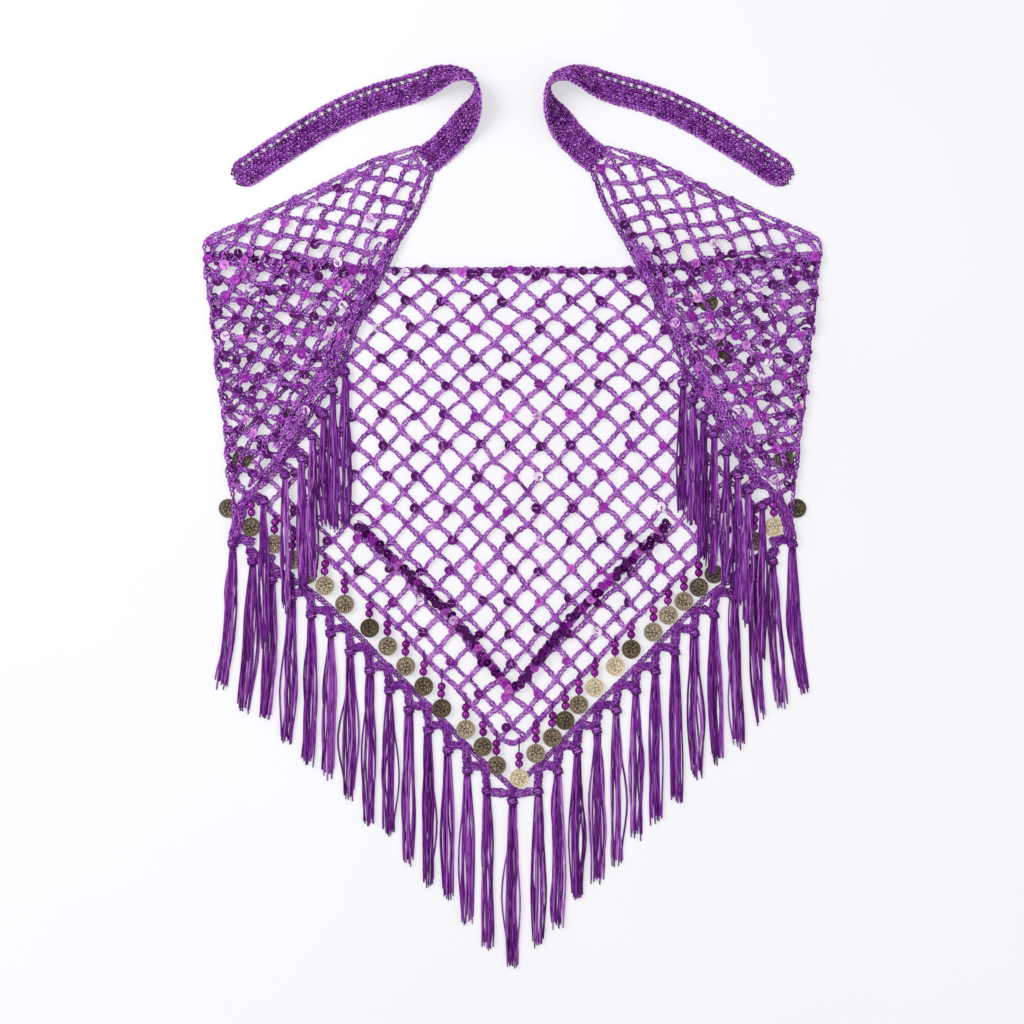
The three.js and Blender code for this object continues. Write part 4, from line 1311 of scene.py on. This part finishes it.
def set_coin(name, x, y, z, tilt, turn, shade):
    """One coin, turned about its own axis, leaning by a tilt with its lower rim down."""
    heap = Heap()
    lean, spin = math.radians(tilt), math.radians(turn)
    along = np.array([[math.cos(spin), math.sin(spin) * math.cos(lean), math.sin(spin) * math.sin(lean)]])
    up = np.array([[0.0, -math.sin(lean), math.cos(lean)]])
    shape, tone = coin_shape()
    heap.copies(shape, places([[x, y, z]], along, up), np.array([shade]))
    heap.shades[-1] = heap.shades[-1] + tone
    eyelet = np.arange(8) * math.pi / 4
    ring = np.stack([np.cos(eyelet), np.sin(eyelet) + COIN["diameter"] / 2 - 1.9, 0 * eyelet + 1.1], -1)
    where = places([[x, y, z]], [[1.0, 0, 0]], up)
    heap.copies(swept(ring, 0.3, 4, closed=True), where, np.array([shade + 0.1]))
    piece = heap.piece(name, [finish_of("coin")])
    piece.data.set_sharp_from_angle(angle=SHARP_STEP)
    return piece


def bead_string(name, x, coin_y, top, z, rng):
    """Two beads on a doubled thread from a coin's eyelet up to the net."""
    r = BEAD["diameter"] / 2
    arc = np.linspace(-math.pi / 2, math.pi / 2, 9)
    profile = [(r * math.cos(a), r * math.sin(a)) for a in arc]
    profile[0], profile[-1] = (0, -r * 0.93), (0, r * 0.93)
    bead = turned(profile, 14)
    heap = Heap()
    for i in range(2):
        at = [[x + rng.normal(0, 0.25), coin_y + BEAD["from_coin"] + i * BEAD["pitch"], z]]
        heap.copies(bead, places(at, [[0, 0.2, 1.0]], [[0, 1.0, 0.0]]), rng.random(1))
    start = coin_y + COIN["diameter"] / 2 - 2.2
    for shift in (-0.3, 0.3):
        path = smooth_line([
            (x + shift, start, 2.0), (x + shift, start + 1.6, 2.9), (x + shift, start + 4, z),
            (x + shift, top - 2, z), (x + shift * 2, top + 2.5, z + 0.6),
        ], 3)
        heap.add(swept(path, 0.5, 5), 0.3, 1)
    return heap.piece(name, [finish_of("bead"), finish_of("tassel_thread")])


class SHAWL_OT_coin_drops(bpy.types.Operator):
    """Hang the coins under their pairs of beads, and lay the coins of the folds"""

    bl_idname = "shawl.coin_drops"
    bl_label = "Coins and Beads"

    dull = (0.25, 0.66)
    dull_share = 0.85
    bright = 0.88
    shaded = (0.2, 0.4)

    def execute(self, context):
        rng = np.random.default_rng(context.scene.shawl_yarn.seed + 90)
        radius = COIN["diameter"] / 2
        drops = sorted(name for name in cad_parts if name.startswith("coin_drop_"))
        if not drops:
            raise RuntimeError("the frame has no coin drops")
        for node in drops:
            low, high = (np.array(corner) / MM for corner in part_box(node))
            x, y, top = (low[0] + high[0]) / 2, low[1] + radius, high[1]
            above = (y - read_off(BORDER_CHAIN, abs(x))) * math.sqrt(0.5)
            flat = above < radius + 2.5 + GAP
            tilt = 0 if flat else COIN["tilt"]
            z = FIRST_LAYER + 0.3 if flat else radius * math.sin(math.radians(tilt)) + GAP
            label = node.removeprefix("coin_drop_")
            shade = rng.uniform(*self.dull) if rng.random() < self.dull_share else self.bright
            coin = set_coin(f"coin_{label}", x, y, z, tilt, rng.uniform(0, 360), shade)
            dress(coin, "coin", node)
            beads = bead_string(f"beads_{label}", x, y, top, BEAD["diameter"] / 2, rng)
            dress(beads, "sequin", node)
        for node in sorted(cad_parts):
            if node.startswith(("fold_coin_", "wing_coin_")):
                low, high = (np.array(corner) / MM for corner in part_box(node))
                x, y = (low[:2] + high[:2]) / 2
                shade = rng.uniform(*self.shaded)
                coin = set_coin(f"lying_{node}", x, y, low[2], 0, rng.uniform(0, 360), shade)
                dress(coin, "coin", node)
        return {"FINISHED"}


class SHAWL_OT_stage(bpy.types.Operator):
    """Lay the white floor, and set the soft lights and the camera straight above the shawl"""

    bl_idname = "shawl.stage"
    bl_label = "Floor, Light and Camera"

    frame_width = 0.9216
    lens = 85.0
    sensor = 36.0
    centre = (-0.00045, 0.0027)
    floor_reach = 4.0
    # Name, place, width in metres, power in watts.
    lamps = (("window", (-1.3, 0.7, 1.5), 1.1, 24.0), ("fill", (1.4, -0.8, 1.8), 1.6, 4.0))

    def execute(self, context):
        scene = context.scene
        scene.view_settings.view_transform = "Standard"
        mesh = bpy.data.meshes.new("floor")
        reach = self.floor_reach
        corners = [(-reach, -reach, 0), (reach, -reach, 0), (reach, reach, 0), (-reach, reach, 0)]
        mesh.from_pydata(corners, [], [(0, 1, 2, 3)])
        mesh.materials.append(floor_finish())
        floor = bpy.data.objects.new("floor", mesh)
        scene.collection.objects.link(floor)
        world = bpy.data.worlds.new("studio")
        world.use_nodes = True
        background = world.node_tree.nodes["Background"]
        background.inputs["Color"].default_value = (0.975, 0.96, 1, 1)
        background.inputs["Strength"].default_value = 0.72
        scene.world = world
        for name, place, width, power in self.lamps:
            data = bpy.data.lights.new(name, "AREA")
            data.size, data.energy = width, power
            lamp = bpy.data.objects.new(name, data)
            lamp.location = place
            lamp.rotation_euler = (-Vector(place)).to_track_quat("-Z", "Y").to_euler()
            scene.collection.objects.link(lamp)
        data = bpy.data.cameras.new("above")
        data.lens, data.sensor_width = self.lens, self.sensor
        data.clip_end = 20
        camera = bpy.data.objects.new("above", data)
        camera.location = (*self.centre, self.frame_width * self.lens / self.sensor)
        scene.collection.objects.link(camera)
        scene.camera = camera
        return {"FINISHED"}


class SHAWL_PT_panel(bpy.types.Panel):
    """Sizes, colours and makers of the shawl, in the 3D view's sidebar"""

    bl_idname = "SHAWL_PT_panel"
    bl_label = "Crochet Shawl"
    bl_space_type = "VIEW_3D"
    bl_region_type = "UI"
    bl_category = "Shawl"

    def draw(self, context):
        layout = self.layout
        for group, fields in (
            (context.scene.shawl_yarn, ("yarn", "chain_width", "loop_pitch", "loop_steps", "seed")),
            (context.scene.shawl_trims, ("strand", "strands", "sequin")),
            (context.scene.shawl_colours, ("yarn", "tassel_thread", "sequin", "coin", "bead")),
        ):
            box = layout.box()
            for field in fields:
                box.prop(group, field)
        for operator in OPERATORS:
            layout.operator(operator.bl_idname)


GROUPS = {"shawl_yarn": ShawlYarn, "shawl_trims": ShawlTrims, "shawl_colours": ShawlColours}
OPERATORS = (
    SHAWL_OT_stage, SHAWL_OT_back_net, SHAWL_OT_folded_corners, SHAWL_OT_ties, SHAWL_OT_border,
    SHAWL_OT_folded_border, SHAWL_OT_sequins, SHAWL_OT_sequin_cord, SHAWL_OT_coin_drops,
)


def register():
    for made in (*GROUPS.values(), *OPERATORS, SHAWL_PT_panel):
        bpy.utils.register_class(made)
    for name, group in GROUPS.items():
        setattr(bpy.types.Scene, name, PointerProperty(type=group))


def unregister():
    for name in GROUPS:
        delattr(bpy.types.Scene, name)
    for made in (SHAWL_PT_panel, *reversed(OPERATORS), *GROUPS.values()):
        bpy.utils.unregister_class(made)


def main():
    """Makes the whole shawl."""
    register()
    bpy.ops.shawl.stage()
    bpy.ops.shawl.back_net()
    bpy.ops.shawl.folded_corners()
    bpy.ops.shawl.ties()
    bpy.ops.shawl.border()
    bpy.ops.shawl.folded_border()
    bpy.ops.shawl.sequins()
    bpy.ops.shawl.sequin_cord()
    bpy.ops.shawl.coin_drops()


if __name__ == "__main__":
    main()
